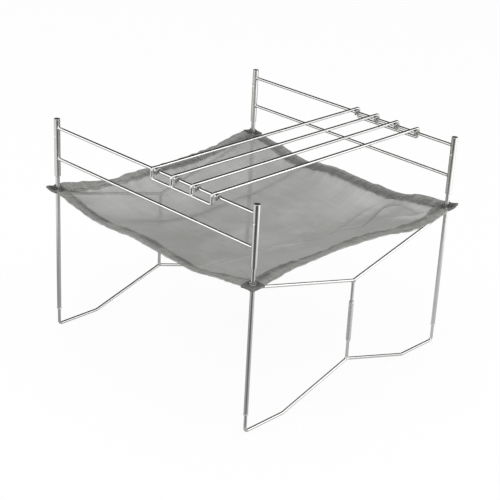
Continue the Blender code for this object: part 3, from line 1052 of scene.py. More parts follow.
@dataclass(kw_only=True)
class SideFrame(WireWork):
    """Two posts, the arm wire, the link rod and the barrel of one side."""

    side: Side
    arm_bend: float = 0.0060
    arm_inset: float = 0.0005
    arm_height: float = 0.1932
    arm_drop: float = 0.0457
    post_rim: float = 0.00035
    post_collar: Profile = (
        (0.0, 5.6), (0.0, 4.8), (0.8, 3.8), (1.1, 2.6), (1.0, 1.2), (0.3, 0.2), (-0.6, 0.0),
    )
    socket_depth: float = 0.0223
    pin_rounding: float = 0.0014
    tube_bore: float = 0.0046
    barrel_cone: float = 0.0024
    line_pitch: float = 0.0018
    line_depth: float = 0.00009

    def post(self, end: End) -> Upright:
        """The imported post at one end."""
        return Upright(f"{self.side.word}_{end.word}_post")

    def post_profile(self, bottom: float, top: float, radius: float) -> list[tuple[float, float]]:
        """Outline of a post, from the tip of its pin down its outside and up its socket.

        Args:
            bottom: Height of its foot.
            top: Height of its tip.
            radius: Its radius.

        Returns:
            Radius and height of each point.
        """
        rounding, rim, bore = self.pin_rounding, self.post_rim, self.tube_bore / 2
        tip = [
            (radius - rounding * (1 - math.sin(turn)), top - rounding * (1 - math.cos(turn)))
            for turn in spaced(0.0, math.pi / 2, 6)
        ]
        shaft = [(radius, height) for height in (top - rounding - rim, *spaced(top, bottom, 12)[1:-1])]
        collar = [(radius + out * rim, bottom + up * rim) for out, up in self.post_collar]
        socket = [(bore + 0.5 * rim, bottom), (bore, bottom + 0.6 * rim), (bore, bottom + self.socket_depth)]
        return tip + shaft + collar + socket

    def arm_end(self, end: End) -> Vector:
        """Where the arm wire's centre line meets the post's surface."""
        post = self.post(end)
        return Vector((post.foot.x, post.foot.y - end.value * post.radius, self.arm_height))

    def build_post(self, end: End) -> None:
        """Make one post, with the collar at its foot."""
        post = self.post(end)
        draft = MeshDraft()
        profile = self.post_profile(post.low.z, post.high.z, post.radius)
        draft.turned(profile, post.foot, sides=28, closed=False)
        node = f"{self.side.word}_{end.word}_post"
        draft.dressed(node, "tube", self.finishes.tube, [self.arm_end(end)])

    def build_arm(self) -> None:
        """Make the arm wire with its bend and the welds at both posts."""
        node = f"{self.side.word}_arm_wire"
        places = [self.arm_end(end) for end in End]
        slope = math.atan2(self.arm_drop, abs(places[0].y))
        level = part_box(node)[0].z + self.wire_radius - self.arm_bend * (1 / math.cos(slope) - 1)
        middle = Vector((places[0].x, 0.0, level))
        near, far = (place + Vector((0, end.value * self.arm_inset, 0)) for end, place in zip(End, places))
        draft = MeshDraft()
        path = bent_wire([near, middle, far], (0.0, self.arm_bend, 0.0))
        draft.wire(path, self.wire_radius, (WireEnd.BUTTED, WireEnd.BUTTED))
        for seed, (end, place) in enumerate(zip(End, places), start=3):
            post = self.post(end)
            self.weld(draft, place, (middle - place).normalized(), onto_upright(post.foot, post.radius), seed)
        self.drawn(draft, node, [*places, middle - UP * self.wire_radius])

    def build_barrel(self) -> None:
        """Make the barrel: a short sleeve with coned ends and fine turning lines."""
        node = f"{self.side.word}_link_barrel"
        box = Upright(node)
        radius, bore, cone, pitch = box.radius, self.tube_bore / 2, self.barrel_cone, self.line_pitch
        count = int((box.high.z - box.low.z - 4 * cone) / pitch)
        start = (box.low.z + box.high.z) / 2 + count * pitch / 2
        line = ((0.0, 0.0003), (-self.line_depth, 0.0001), (-self.line_depth, -0.0001), (0.0, -0.0003))
        lines = [
            (radius + out, start - index * pitch + up) for index in range(count + 1) for out, up in line
        ]
        coned = [
            (bore + 0.0001, 0.0), (bore + 0.00045, 0.0),
            (radius - 0.00035, 0.55 * cone), (radius - 0.00008, 0.85 * cone), (radius, 1.1 * cone),
        ]
        top = [(out, box.high.z - gone) for out, gone in coned]
        foot = [(out, box.low.z + gone) for out, gone in reversed(coned)]
        inside = [(bore, box.low.z + 0.0002), (bore, box.high.z - 0.0002)]
        draft = MeshDraft()
        draft.turned(top + lines + foot + inside, box.foot, sides=32)
        draft.dressed(node, "sleeve", self.finishes.tube)

    def build(self) -> None:
        """Make every piece of the side frame."""
        self.build_arm()
        for end in End:
            self.build_post(end)
        self.build_rod(f"{self.side.word}_link_rod", -1, WireEnd.BROKEN, 11)
        self.build_barrel()


@dataclass(kw_only=True)
class FootFrame(WireWork):
    """The foot wire and foot rod of one side, which plug into the side frame."""

    side: Side
    ground_run: float = 0.0647
    height_at_link: float = 0.0371
    foot_bend: float = 0.0045
    slope_bend: float = 0.0080

    def build(self) -> None:
        """Make the foot wire and the foot rod."""
        node = f"{self.side.word}_foot_wire"
        low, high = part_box(node)
        x = (low.x + high.x) / 2
        reach = high.y - self.wire_radius
        floor = self.wire_radius
        half = [(x, -reach, high.z), (x, -reach, floor), (x, -(reach - self.ground_run), floor)]
        corners = [*half, (x, 0.0, self.height_at_link), *((x, -y, z) for _, y, z in reversed(half))]
        radii = (0.0, self.foot_bend, self.slope_bend)
        draft = MeshDraft()
        draft.wire(bent_wire(corners, (*radii, self.slope_bend, *radii[::-1])), self.wire_radius)
        self.drawn(draft, node, [Vector((x, 0.0, self.height_at_link + self.wire_radius))])
        self.build_rod(f"{self.side.word}_foot_rod", 1, WireEnd.ROUNDED, 21)


@dataclass(kw_only=True)
class Rack(WireWork):
    """Two open tubes joined by an upper and a lower rail."""

    end: End
    tube_bore: float = 0.0062
    rim: float = 0.0004
    dimple_depth: float = 0.0005
    dimple_radius: float = 0.0017
    rail_inset: float = 0.0005
    weld_leg: float = 0.0012

    def tube(self, side: Side) -> Upright:
        """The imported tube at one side."""
        return Upright(f"{self.end.word}_{side.word}_tube")

    def tube_profile(self, low: float, high: float, radius: float, dimple: float) -> Profile:
        """Outline of a tube with rounded rims, with more rings where the dimple is.

        Args:
            low: Height of its lower end.
            high: Height of its upper end.
            radius: Its radius.
            dimple: Height of the dimple.

        Returns:
            Radius and height of each point.
        """
        bore, rim = self.tube_bore / 2, self.rim
        heights = spaced(high, low, 14)[1:-1]
        heights += [dimple + self.dimple_radius * step / 4 for step in range(-6, 7)]
        heights += [high - 1.8 * rim, low + 1.8 * rim]
        outside = [(radius, height) for height in sorted(heights, reverse=True)]
        rounding = [(radius - rim, 0.0), (radius - 0.3 * rim, 0.3 * rim), (radius, rim)]
        top = [(out, high - gone) for out, gone in rounding]
        foot = [(out, low + gone) for out, gone in reversed(rounding)]
        inside = [
            (bore + 0.2 * rim, low), (bore, low + 0.3 * rim),
            (bore, high - 0.3 * rim), (bore + 0.2 * rim, high),
        ]
        return top + outside + foot + inside

    def build_tube(self, side: Side) -> None:
        """Make one tube, dented where its pin stop was pressed in."""
        node = f"{self.end.word}_{side.word}_tube"
        tube = self.tube(side)
        stop = centre_of(f"{self.end.word}_{side.word}_pin_stop").z
        dent = Vector((0.0, -tube.radius, stop))

        def dimple(point: Vector) -> Vector:
            """Press one point of the outside in, near the pin stop."""
            flat = Vector((point.x, point.y, 0.0))
            if flat.length < tube.radius * 0.95:
                return point
            share = bell((point - dent).length, self.dimple_radius / 1.5)
            return point - flat.normalized() * self.dimple_depth * share

        draft = MeshDraft()
        profile = self.tube_profile(tube.low.z, tube.high.z, tube.radius, stop)
        draft.turned(profile, tube.foot, sides=48, shape=dimple)
        inner = tube.middle.x - side.value * tube.radius
        levels = [centre_of(f"{self.end.word}_{level}_rail").z for level in ("upper", "lower")]
        welds = [Vector((inner, tube.middle.y, height)) for height in levels]
        piece = draft.dressed(node, "open", self.finishes.tube, welds)
        line_bore(piece, self.finishes.bore, tube.middle, self.tube_bore / 2 + 0.00005)

    def build_rail(self, level: str, seed: int) -> None:
        """Make one rail, with the weld at each tube.

        Args:
            level: Upper or lower.
            seed: Start of the unevenness of its welds.
        """
        node = f"{self.end.word}_{level}_rail"
        middle = centre_of(node)
        draft = MeshDraft()
        tubes = [self.tube(side) for side in Side]
        right, left = (
            Vector((tube.middle.x - side.value * (tube.radius - self.rail_inset), middle.y, middle.z))
            for side, tube in zip(Side, tubes)
        )
        draft.wire(bent_wire([left, right]), self.wire_radius, (WireEnd.BUTTED, WireEnd.BUTTED))
        welds = []
        for number, (side, tube) in enumerate(zip(Side, tubes), start=seed):
            foot = Vector((tube.middle.x - side.value * tube.radius, middle.y, middle.z))
            host = onto_upright(tube.middle, tube.radius)
            self.weld(draft, foot, Vector((-side.value, 0, 0)), host, number)
            welds.append(foot)
        self.drawn(draft, node, welds)

    def build(self) -> None:
        """Make the tubes and rails of the rack, and finish the stops inside the tubes."""
        for side in Side:
            self.build_tube(side)
            stop = frame["nodes"][f"{self.end.word}_{side.word}_pin_stop"]
            stop.data.materials.clear()
            stop.data.materials.append(self.finishes.wire)
        self.build_rail("upper", 38 + self.end.value)
        self.build_rail("lower", 31 + self.end.value)


@dataclass(kw_only=True)
class Grate(WireWork):
    """Outer loop, two inner bars and the saddle hooks of the sliding grate."""

    bend: float = 0.0032
    bar_count: int = 4
    hook_radius: float = 0.0014
    hook_clearance: float = 0.0002
    hook_roundness: float = 0.96
    hook_lump: tuple[float, float, float] = (0.0008, 0.0009, 0.0006)
    weld_leg: float = 0.0010
    weld_heat: float = 0.005
    hook_heat: float = 0.0028

    def __post_init__(self) -> None:
        """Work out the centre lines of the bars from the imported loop."""
        low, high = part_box("grate_loop")
        self.bars = spaced(low.x + self.wire_radius, high.x - self.wire_radius, self.bar_count - 1)
        self.reach = high.y - self.wire_radius
        self.top = high.z - self.wire_radius
        self.foot = low.z + self.wire_radius

    def build_loop(self) -> None:
        """Make the outer loop: two bars and two cross wires, bent from one wire."""
        reach, first, last = self.reach, self.bars[0], self.bars[-1]
        bent_down = [(-reach, self.foot), (-reach, self.top), (reach, self.top), (reach, self.foot)]
        corners = [(first, y, z) for y, z in bent_down] + [(last, y, z) for y, z in reversed(bent_down)]
        path = bent_wire(corners, [self.bend] * len(corners))
        path += [path[-1].lerp(path[0], step / 8) for step in range(1, 8)]
        draft = MeshDraft()
        draft.wire(path, self.wire_radius, closed=True)
        joints = [
            Vector((bar, end.value * reach, self.foot + self.wire_radius))
            for bar in self.bars[1:-1] for end in End
        ]
        self.drawn(draft, "grate_loop", joints, self.weld_heat)

    def build_inner_bar(self, number: int, bar: float) -> None:
        """Make one inner bar, bent down on to the cross wires and welded there.

        Args:
            number: Which inner bar it is, from 1.
            bar: X of its centre line.
        """
        reach, foot = self.reach, self.foot + self.wire_radius
        corners = [(bar, -reach, foot), (bar, -reach, self.top), (bar, reach, self.top), (bar, reach, foot)]
        draft = MeshDraft()
        path = bent_wire(corners, (0.0, self.bend, self.bend, 0.0))
        draft.wire(path, self.wire_radius, (WireEnd.BUTTED, WireEnd.BUTTED))
        joints = [Vector((bar, end.value * reach, foot)) for end in End]
        for joint in joints:
            axis = joint - UP * self.wire_radius
            host = onto_level_wire(axis, Vector((1, 0, 0)), self.wire_radius, UP)
            self.weld(draft, joint, UP, host, 40 + number)
        self.drawn(draft, f"grate_inner_bar_{number}", joints, self.weld_heat)

    def build_hook(self, end: End, number: int, bar: float) -> None:
        """Make one saddle hook, welded to its bar and over its rail.

        Args:
            end: Which rail it sits on.
            number: Number of its bar, from 1.
            bar: X of the bar's centre line.
        """
        node = f"{end.word}_hook_{number}"
        rail, x, low = centre_of(f"{end.word}_upper_rail"), centre_of(node).x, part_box(node)[0].z
        half = self.wire_radius + self.hook_clearance + self.hook_radius
        crown = rail.z + half
        corners = [
            (x, rail.y - half, low), (x, rail.y - half, crown),
            (x, rail.y + half, crown), (x, rail.y + half, low),
        ]
        rounding = half * self.hook_roundness
        path = bent_wire(corners, (0.0, rounding, rounding, 0.0), spacing=0.004)
        draft = MeshDraft()
        draft.wire(path, self.hook_radius, (WireEnd.ROUNDED, WireEnd.ROUNDED), sides=18)
        bridge = Vector((blend(bar, x, 0.5), rail.y, crown))
        draft.lump(bridge, Vector(self.hook_lump), number)
        draft.dressed(node, "saddle", self.finishes.hook, [bridge], self.hook_heat)

    def build(self) -> None:
        """Make every piece of the grate."""
        self.build_loop()
        for number, bar in enumerate(self.bars[1:-1], start=1):
            self.build_inner_bar(number, bar)
        for end in End:
            for number, bar in enumerate(self.bars, start=1):
                self.build_hook(end, number, bar)


@dataclass(frozen=True)
class Crease:
    """A crease of the sheet along a line of flat places, as shares of half the sheet.

    Its tone is painted on: above 0 it is painted shade along the crease, below 0 a painted highlight.
    """

    line: tuple[Chart, ...]
    height: float
    front: float
    back: float
    tone: float = 0.0
    tone_width: float = 0.010

    def points(self, steps: int = 48) -> list[Vector]:
        """Points of the smooth line, as shares of half the sheet."""
        parts = [[(index, place[axis]) for index, place in enumerate(self.line)] for axis in (0, 1)]
        return [
            Vector([smooth_curve(part, place) for part in parts])
            for place in spaced(0, len(self.line) - 1, steps)
        ]


class SheetForm:
    """Where each place of the flat sheet lies once it is slung between the pins."""

    half: float = 0.190
    hem: float = 0.020
    pin_reach: float = 0.180
    level: float = 0.1972
    pull: float = 0.0180
    pull_power: float = 1.2
    belly: float = 0.0180
    gather_depth: float = 0.0007
    gather_reach: float = 0.010
    gather_span: float = 0.06
    crease_span: float = 6.0
    most_tone: float = 0.6
    tips: dict[tuple[End, Side], float] = {
        (End.NEAR, Side.LEFT): 0.2015, (End.NEAR, Side.RIGHT): 0.1960,
        (End.FAR, Side.LEFT): 0.2025, (End.FAR, Side.RIGHT): 0.2035,
    }
    creases: tuple[Crease, ...] = (
        Crease(
            (
                (-0.55, -0.80), (-0.49, -0.65), (-0.42, -0.50), (-0.38, -0.32), (-0.37, -0.12), (-0.39, 0.12),
                (-0.38, 0.28), (-0.34, 0.48), (-0.32, 0.72), (-0.29, 0.84), (-0.17, 0.85),
            ),
            0.0012, 0.050, 0.050, 0.30, 0.032,
        ),
        Crease(
            (
                (0.30, -0.28), (0.35, -0.09), (0.44, 0.04), (0.53, 0.15), (0.54, 0.28), (0.50, 0.42),
                (0.46, 0.66), (0.48, 0.80), (0.51, 0.90),
            ),
            0.0014, 0.040, 0.020, 0.32, 0.0075,
        ),
        Crease(
            ((0.52, 0.29), (0.58, 0.40), (0.65, 0.46), (0.61, 0.60), (0.57, 0.76), (0.56, 0.89)),
            0.0018, 0.035, 0.020, 0.42, 0.013,
        ),
        Crease(
            ((0.59, 0.64), (0.56, 0.76), (0.62, 0.83), (0.72, 0.82), (0.91, 0.77)),
            0.0022, 0.045, 0.020, 0.22, 0.012,
        ),
        Crease(((0.57, 0.79), (0.68, 0.80), (0.78, 0.79), (0.93, 0.76)), 0.0, 0.050, 0.050, 0.24, 0.028),
        Crease(((0.68, 0.90), (0.78, 0.87), (0.92, 0.83)), 0.0, 0.050, 0.050, -0.22, 0.030),
        Crease(((0.31, -0.88), (0.30, -0.70), (0.29, -0.49)), 0.0006, 0.014, 0.014, -0.22, 0.008),
        Crease(((0.36, -0.82), (0.36, -0.58), (0.35, -0.33)), 0.0006, 0.014, 0.014, -0.22, 0.008),
        Crease(((-0.93, -0.93), (-0.87, -0.84), (-0.83, -0.64)), 0.0014, 0.022, 0.018, 0.30, 0.010),
        Crease(((-0.92, -0.90), (-0.91, -0.82), (-0.87, -0.70)), 0.0010, 0.018, 0.018, -0.36, 0.010),
        Crease(((0.92, -0.93), (0.72, -0.80), (0.55, -0.72)), 0.0014, 0.032, 0.018, 0.12, 0.010),
        Crease(((0.93, 0.93), (0.84, 0.78), (0.70, 0.70)), 0.0018, 0.030, 0.018),
        Crease(((-0.93, 0.93), (-0.80, 0.82), (-0.66, 0.76)), 0.0016, 0.030, 0.018, 0.15, 0.010),
    )
    outer: dict[str, Profile] = {
        "near": (
            (-0.190, 0.2022), (-0.163, 0.1985), (-0.128, 0.1855), (-0.093, 0.1789), (-0.044, 0.1779),
            (0.008, 0.1748), (0.052, 0.1743), (0.077, 0.1758), (0.128, 0.1868), (0.170, 0.1949),
            (0.190, 0.1962),
        ),
        "far": (
            (-0.190, 0.2015), (-0.155, 0.1955), (-0.120, 0.1950), (-0.069, 0.1912), (-0.040, 0.1955),
            (0.003, 0.1990), (0.032, 0.1973), (0.085, 0.1946), (0.111, 0.1950), (0.134, 0.2015),
            (0.158, 0.2012), (0.190, 0.2036),
        ),
        "left": (
            (-0.190, 0.2022), (-0.153, 0.2000), (-0.109, 0.1940), (-0.091, 0.1922), (-0.060, 0.1955),
            (0.000, 0.1962), (0.086, 0.1968), (0.115, 0.1982), (0.151, 0.2012), (0.190, 0.2015),
        ),
        "right": (
            (-0.190, 0.1962), (-0.130, 0.1985), (-0.081, 0.1953), (-0.019, 0.1933), (0.026, 0.1905),
            (0.069, 0.1892), (0.112, 0.1852), (0.146, 0.1905), (0.176, 0.2010), (0.190, 0.2036),
        ),
    }
    seams: dict[str, Profile] = {
        "near": (
            (-0.170, 0.1965), (-0.144, 0.1862), (-0.120, 0.1785), (-0.097, 0.1753), (-0.060, 0.1758),
            (-0.029, 0.1745), (0.000, 0.1725), (0.030, 0.1690), (0.069, 0.1690), (0.114, 0.1801),
            (0.170, 0.1965),
        ),
        "far": (
            (-0.170, 0.1985), (-0.136, 0.1965), (-0.108, 0.1912), (-0.076, 0.1888), (-0.045, 0.1915),
            (-0.005, 0.1960), (0.021, 0.1962), (0.055, 0.1935), (0.092, 0.1908), (0.130, 0.1960),
            (0.170, 0.1982),
        ),
        "left": (
            (-0.170, 0.1960), (-0.141, 0.1932), (-0.092, 0.1930), (-0.043, 0.1945), (-0.010, 0.1955),
            (0.031, 0.1930), (0.074, 0.1950), (0.116, 0.1985), (0.170, 0.1990),
        ),
        "right": (
            (-0.170, 0.1965), (-0.131, 0.1965), (-0.103, 0.1940), (-0.068, 0.1895), (-0.027, 0.1878),
            (0.021, 0.1880), (0.065, 0.1858), (0.103, 0.1836), (0.145, 0.1872), (0.170, 0.1975),
        ),
    }
    # How much painted shade each seam gets, by place along it.
    seam_dark: dict[str, Profile] = {
        "near": (
            (-0.170, 0.45), (-0.150, 0.50), (-0.120, 0.75), (-0.100, 1.00), (-0.091, 0.20),
            (-0.078, 0.05), (-0.068, 0.50), (-0.055, 0.75), (-0.045, 0.10), (-0.036, 0.60),
            (-0.020, 0.95), (-0.004, 0.95), (0.006, 0.10), (0.018, 0.50), (0.036, 0.90), (0.056, 1.00),
            (0.066, 0.10), (0.076, 0.60), (0.086, 0.05), (0.100, 0.10), (0.114, 0.70), (0.126, 0.60),
            (0.138, 0.10), (0.170, 0.30),
        ),
        "right": (
            (-0.170, 0.30), (-0.160, 0.90), (-0.130, 0.70), (-0.092, 0.85), (-0.084, 0.05),
            (-0.076, 0.55), (-0.040, 0.35), (0.000, 0.50), (0.022, 0.65), (0.033, 0.10), (0.044, 0.60),
            (0.062, 0.45), (0.076, 0.50), (0.086, 0.00), (0.098, 0.00), (0.106, 0.60), (0.130, 0.50),
            (0.147, 0.45), (0.152, 0.10), (0.158, 0.90), (0.170, 0.95),
        ),
        "far": (
            (-0.170, 0.90), (-0.120, 0.75), (-0.060, 1.00), (0.000, 0.85), (0.080, 1.00), (0.130, 0.70),
            (0.170, 0.90),
        ),
        "left": (
            (-0.170, 0.50), (-0.155, 0.10), (-0.090, 0.05), (-0.072, 0.45), (-0.030, 0.80), (0.030, 0.85),
            (0.100, 0.60), (0.170, 0.80),
        ),
    }

    def __init__(self) -> None:
        """Work out the seam's share of the half sheet, the lines of the creases and the gathers."""
        self.seam = 1.0 - self.hem / self.half
        self.edges = [(edge.word, *edge.value) for edge in Edge]
        self.gather_waves = {
            edge.word: uneven_wave(seed, 0.010, 0.034, self.half) for seed, edge in enumerate(Edge, start=71)
        }
        self.crease_lines = []
        for crease in self.creases:
            line = crease.points()
            margin = Vector((1.0, 1.0)) * self.crease_span * crease.front
            low = Vector([min(part) for part in zip(*line)]) - margin
            high = Vector([max(part) for part in zip(*line)]) + margin
            self.crease_lines.append((crease, line, low, high))

    def drawn_in(self, place: float) -> float:
        """How far an edge is drawn in, at a place along it from -1 to 1."""
        return self.pull * max(0.0, 1.0 - (place / self.seam) ** 2) ** self.pull_power

    def crease_height(self, across: float, along: float) -> tuple[float, float]:
        """Height that the creases add at a place, and the painted shade or highlight of their tone there.

        Args:
            across: Place across the sheet, from -1 to 1.
            along: Place along the sheet, from -1 to 1.

        Returns:
            The added height, and a painted tone: above 0 painted shade along a crease, below 0 a painted
                highlight.
        """
        height, tone = 0.0, 0.0
        for crease, line, low, high in self.crease_lines:
            if not (low.x < across < high.x and low.y < along < high.y):
                continue
            gap, index = min((math.hypot(across - x, along - y), i) for i, (x, y) in enumerate(line))
            if gap > self.crease_span * crease.front:
                continue
            last = len(line) - 1
            way = (line[min(last, index + 1)] - line[max(0, index - 1)]).normalized()
            off = way.cross(Vector((across, along)) - line[index])
            taper = smooth_step(min(index, last - index) / last * 5.0)
            width = crease.back if off > 0 else crease.front
            height += crease.height * math.exp(-abs(off) / width) * (0.35 if index in (0, last) else taper)
            # The tone is painted light: shade or highlight along the crease line.
            tone += crease.tone * bell(off, crease.tone_width) * taper
        return height, max(-self.most_tone, min(self.most_tone, tone))

    def inner_height(self, across: float, along: float) -> float:
        """Height inside the seams, between the four seams' own heights.

        Args:
            across: Place across the sheet, within the seams.
            along: Place along the sheet, within the seams.

        Returns:
            The height.
        """
        seam, reach = self.seam, self.seam * self.half
        u, v = (across / seam + 1) / 2, (along / seam + 1) / 2
        near, far = (smooth_curve(self.seams[word], across * self.half) for word in ("near", "far"))
        left, right = (smooth_curve(self.seams[word], along * self.half) for word in ("left", "right"))
        ruled = blend(near, far, v) + blend(left, right, u)
        corners = [
            [smooth_curve(self.seams[word], end * reach) for end in (-1, 1)] for word in ("near", "far")
        ]
        flat = blend(*(blend(*pair, u) for pair in corners), v)
        inside = max(0.0, 1 - (across / seam) ** 2) * max(0.0, 1 - (along / seam) ** 2)
        return ruled - flat - self.belly * inside**0.8

    def rise(self, word: str, place: float) -> float:
        """How far a hem's outer edge stands over its seam, at a place along it in metres."""
        return smooth_curve(self.outer[word], place) - smooth_curve(self.seams[word], place)

    def point(self, across: float, along: float) -> Vector:
        """Place in the stand of a place of the flat sheet.

        Args:
            across: Place across the sheet, from -1 to 1.
            along: Place along the sheet, from -1 to 1.

        Returns:
            The place, in metres.
        """
        seam, spot = self.seam, (across, along)
        x = across * (self.half - self.drawn_in(along))
        y = along * (self.half - self.drawn_in(across))
        out_x, out_y = (max(0.0, (abs(part) - seam) / (1 - seam)) for part in spot)
        inner_x, inner_y = (min(seam, max(-seam, part)) for part in spot)
        inner = self.inner_height(inner_x, inner_y)
        side = Side.RIGHT if across > 0 else Side.LEFT
        end = End.FAR if along > 0 else End.NEAR
        rise_x = self.rise(side.word, inner_y * self.half) if out_x > 0 else 0.0
        rise_y = self.rise(end.word, inner_x * self.half) if out_y > 0 else 0.0
        height = inner + out_x * rise_x + out_y * rise_y
        if out_x > 0 and out_y > 0:
            height += out_x * out_y * (self.tips[end, side] - inner - rise_x - rise_y)
        fade = smooth_step((seam + 0.03 - max(abs(across), abs(along))) / 0.06)
        if fade > 0:
            height += self.crease_height(across, along)[0] * fade
        loose = height + self.gathers(across, along) + self.ripples(across, along)
        return Vector((x, y, blend(loose, self.level, self.held_level(across, along))))

    def beside_seams(self, across: float, along: float) -> list[tuple[str, float, float]]:
        """Name of each seam, the place along it and how far inside it a flat place lies, in metres."""
        spot = (across, along)
        return [
            (word, spot[1 - axis], (self.seam - sign * spot[axis]) * self.half)
            for word, axis, sign in self.edges
        ]

    def gathers(self, across: float, along: float) -> float:
        """Height of the small gathers that the stitching draws up beside the seams.

        Args:
            across: Place across the sheet, from -1 to 1.
            along: Place along the sheet, from -1 to 1.

        Returns:
            The height, below 0 in a hollow.
        """
        height = 0.0
        for word, place, inside in self.beside_seams(across, along):
            if inside > self.gather_span:
                continue
            fade = math.exp(-inside / self.gather_reach) if inside > 0 else 1 + 0.6 * inside / self.hem
            quiet = 1 - smooth_step((abs(place) - 0.74) / 0.12)
            height += self.gather_depth * fade * quiet * self.gather_waves[word](place)
        return height

    def ripples(self, across: float, along: float) -> float:
        """Height of the soft unevenness of the whole sheet."""
        x, y = across * self.half, along * self.half
        coarse = noise.noise(Vector((x * 26, y * 20, 1.7)))
        fine = noise.noise(Vector((x * 60, y * 75, 5.1)))
        return 0.0011 * coarse + 0.00035 * fine

    def sunk_seam(self, word: str, place: float) -> float:
        """How much painted shade a seam gets at a place along it, from 0 to 1; it also raises the hem's lip.
        """
        x = place * self.half
        fine = noise.noise(Vector((x * 210, len(word) * 2.3, 0.4)))
        return min(1.0, max(0.0, smooth_curve(self.seam_dark[word], x) * (1 + 0.5 * fine)))

    def held_level(self, across: float, along: float) -> float:
        """How firmly the nearest pin holds a place at its own level, from 0 to 1."""
        pin = self.pin_reach / self.half
        gap = math.hypot(abs(across) - pin, abs(along) - pin) * self.half
        return smooth_step((0.0130 - gap) / 0.0085)

    def normal(self, across: float, along: float) -> Vector:
        """The way square to the slung sheet, upwards."""
        step = 0.004
        over = self.point(across + step, along) - self.point(across - step, along)
        up = self.point(across, along + step) - self.point(across, along - step)
        return over.cross(up).normalized()

    def lifted(self, spot: Sequence[float], lift: float) -> Vector:
        """Place in the stand of a flat place that lies a distance over the sheet."""
        return self.point(*spot) + self.normal(*spot) * lift


@dataclass
class MeshBed:
    """The slung mesh: panel, folded hems, corner patches, stitching and eyelets."""

    finishes: Finishes
    form: SheetForm = field(default_factory=SheetForm)
    panel_steps: int = 230
    hem_steps: int = 240
    hem_overrun: float = 0.055
    hem_thickness: float = 0.0007
    under_hem: float = 0.010
    patch_reach: float = 0.0095
    patch_hole: float = 0.0046
    patch_edge: float = 1.004
    patch_sides: int = 56
    patch_rounds: int = 9
    stitch_pitch: float = 0.0046
    stitch_length: float = 0.0034
    stitch_radius: float = 0.00026
    stitch_line: float = 0.16
    eyelet_bore: float = 0.0040
    eyelet_barrel: float = 0.0043
    eyelet_lip: float = 0.0006
    hem_section: Profile = (
        (-0.03, 0.55), (-0.06, 1.05), (0.02, 1.35), (0.10, 1.15), (0.16, 0.75), (0.24, 1.10),
        (0.34, 1.35), (0.55, 1.45), (0.80, 1.30), (0.90, 1.35), (0.985, 0.95), (1.0, 0.0),
        (0.985, -0.9), (0.90, -1.15), (0.70, -1.05), (0.45, -1.0), (0.20, -0.95), (0.0, -0.75),
    )

    def build_panel(self) -> Object:
        """Make the single layer of mesh between the seams, with a margin under the hems."""
        form = self.form
        edge = form.seam + self.under_hem
        ticks = spaced(-edge, edge, self.panel_steps)
        spots = [[(across, along) for across in ticks] for along in ticks]
        draft = MeshDraft()
        draft.surface(
            [[form.point(*spot) for spot in row] for row in spots],
            [[(across * form.half, along * form.half) for across, along in row] for row in spots],
        )
        piece = draft.dressed("mesh_panel", "slung", self.finishes.mesh, closed=False)
        # The crease mask is painted shade above 0 and a painted highlight below 0.
        store_mask(piece, "crease", [form.crease_height(*spot)[1] for row in spots for spot in row])
        # Painted shade under the seams' lips.
        store_mask(piece, "shade", [self.seam_shade(*spot) for row in spots for spot in row])
        return piece

    def seam_shade(self, across: float, along: float) -> float:
        """How much painted shade the panel gets under a seam's lip, from 0 to 1."""
        shade = 0.0
        for word, place, inside in self.form.beside_seams(across, along):
            if inside <= 0.012:
                sunk = self.form.sunk_seam(word, place)
                shade = max(shade, (0.05 + 0.45 * sunk) * bell(max(0.0, inside), 0.0012 + 0.0016 * sunk))
        return min(1.0, shade)

    def build_hem(self, edge: Edge, seed: int) -> list[Object]:
        """Make one folded hem and its line of stitches.

        Args:
            edge: The edge that it lies on.
            seed: Start of its unevenness.

        Returns:
            The hem and the stitches.
        """
        form, thick, section = self.form, self.hem_thickness, self.hem_section
        wave = uneven_wave(seed, 0.016, 0.060, form.half)
        lip = uneven_wave(seed + 50, 0.014, 0.045, form.half)
        span, width = form.seam + self.hem_overrun, 1 - form.seam
        reach = 0.68 if edge is Edge.FAR else 0.46
        rings, shades = [], []
        for place in spaced(-span, span, self.hem_steps):
            sunk = form.sunk_seam(edge.word, place)
            ring = []
            for out, level in section:
                wander = 0.05 * lip(place) if out < 0.1 else 0.05 * wave(place * 1.3) if out > 0.85 else 0.0
                spot = edge.spot(place, form.seam + (out + wander) * width)
                swell = level * thick * (1 + 0.45 * wave(place + out * 0.4))
                raised = 0.0006 * sunk if -0.1 < out < 0.1 and level > 0.5 else 0.0
                ring.append(form.lifted(spot, swell + raised))
                # Painted shade: a dark band inside the seam, wider and darker where the seam is painted into
                # shade, and a little more along the outer fold.
                band = smooth_step((0.16 + reach * sunk - out) / 0.16)
                shades.append(band * (0.04 + 0.50 * sunk) + (0.10 if out > 0.97 else 0.0))
            rings.append(ring)
        gaps = (
            abs(second[0] - first[0]) * form.hem + abs(second[1] - first[1]) * thick
            for first, second in zip(section, [*section[1:], section[0]])
        )
        draft = MeshDraft()
        along = spaced(0.0, 2 * span * form.half, self.hem_steps)
        draft.loft(rings, along, list(accumulate(gaps, initial=0.0)))
        piece = draft.dressed(f"{edge.word}_hem", "folded", self.finishes.hem)
        caps = [0.0, 0.0]
        store_mask(piece, "shade", shades + caps)
        return [piece, self.build_stitches(edge)]

    def build_stitches(self, edge: Edge) -> Object:
        """Make the row of stitches just outside a seam."""
        form = self.form
        draft = MeshDraft()
        span = form.seam - 0.02
        count = int(2 * span * form.half / self.stitch_pitch)
        out = form.seam + self.stitch_line * (1 - form.seam)
        half = self.stitch_length / 2 / form.half
        for index in range(count):
            middle = blend(-span, span, (index + 0.5) / count)
            path = []
            for share in (-1.0, -0.7, -0.25, 0.25, 0.7, 1.0):
                lift = self.hem_thickness * 0.75 + self.stitch_radius * (1.2 - 2.4 * abs(share) ** 3)
                path.append(form.lifted(edge.spot(middle + half * share, out), lift))
            draft.wire(path, self.stitch_radius, (WireEnd.ROUNDED, WireEnd.ROUNDED), sides=6)
        piece = draft.piece(f"{edge.word}_hem_stitches", self.finishes.thread)
        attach(piece, "mesh_bed")
        return piece

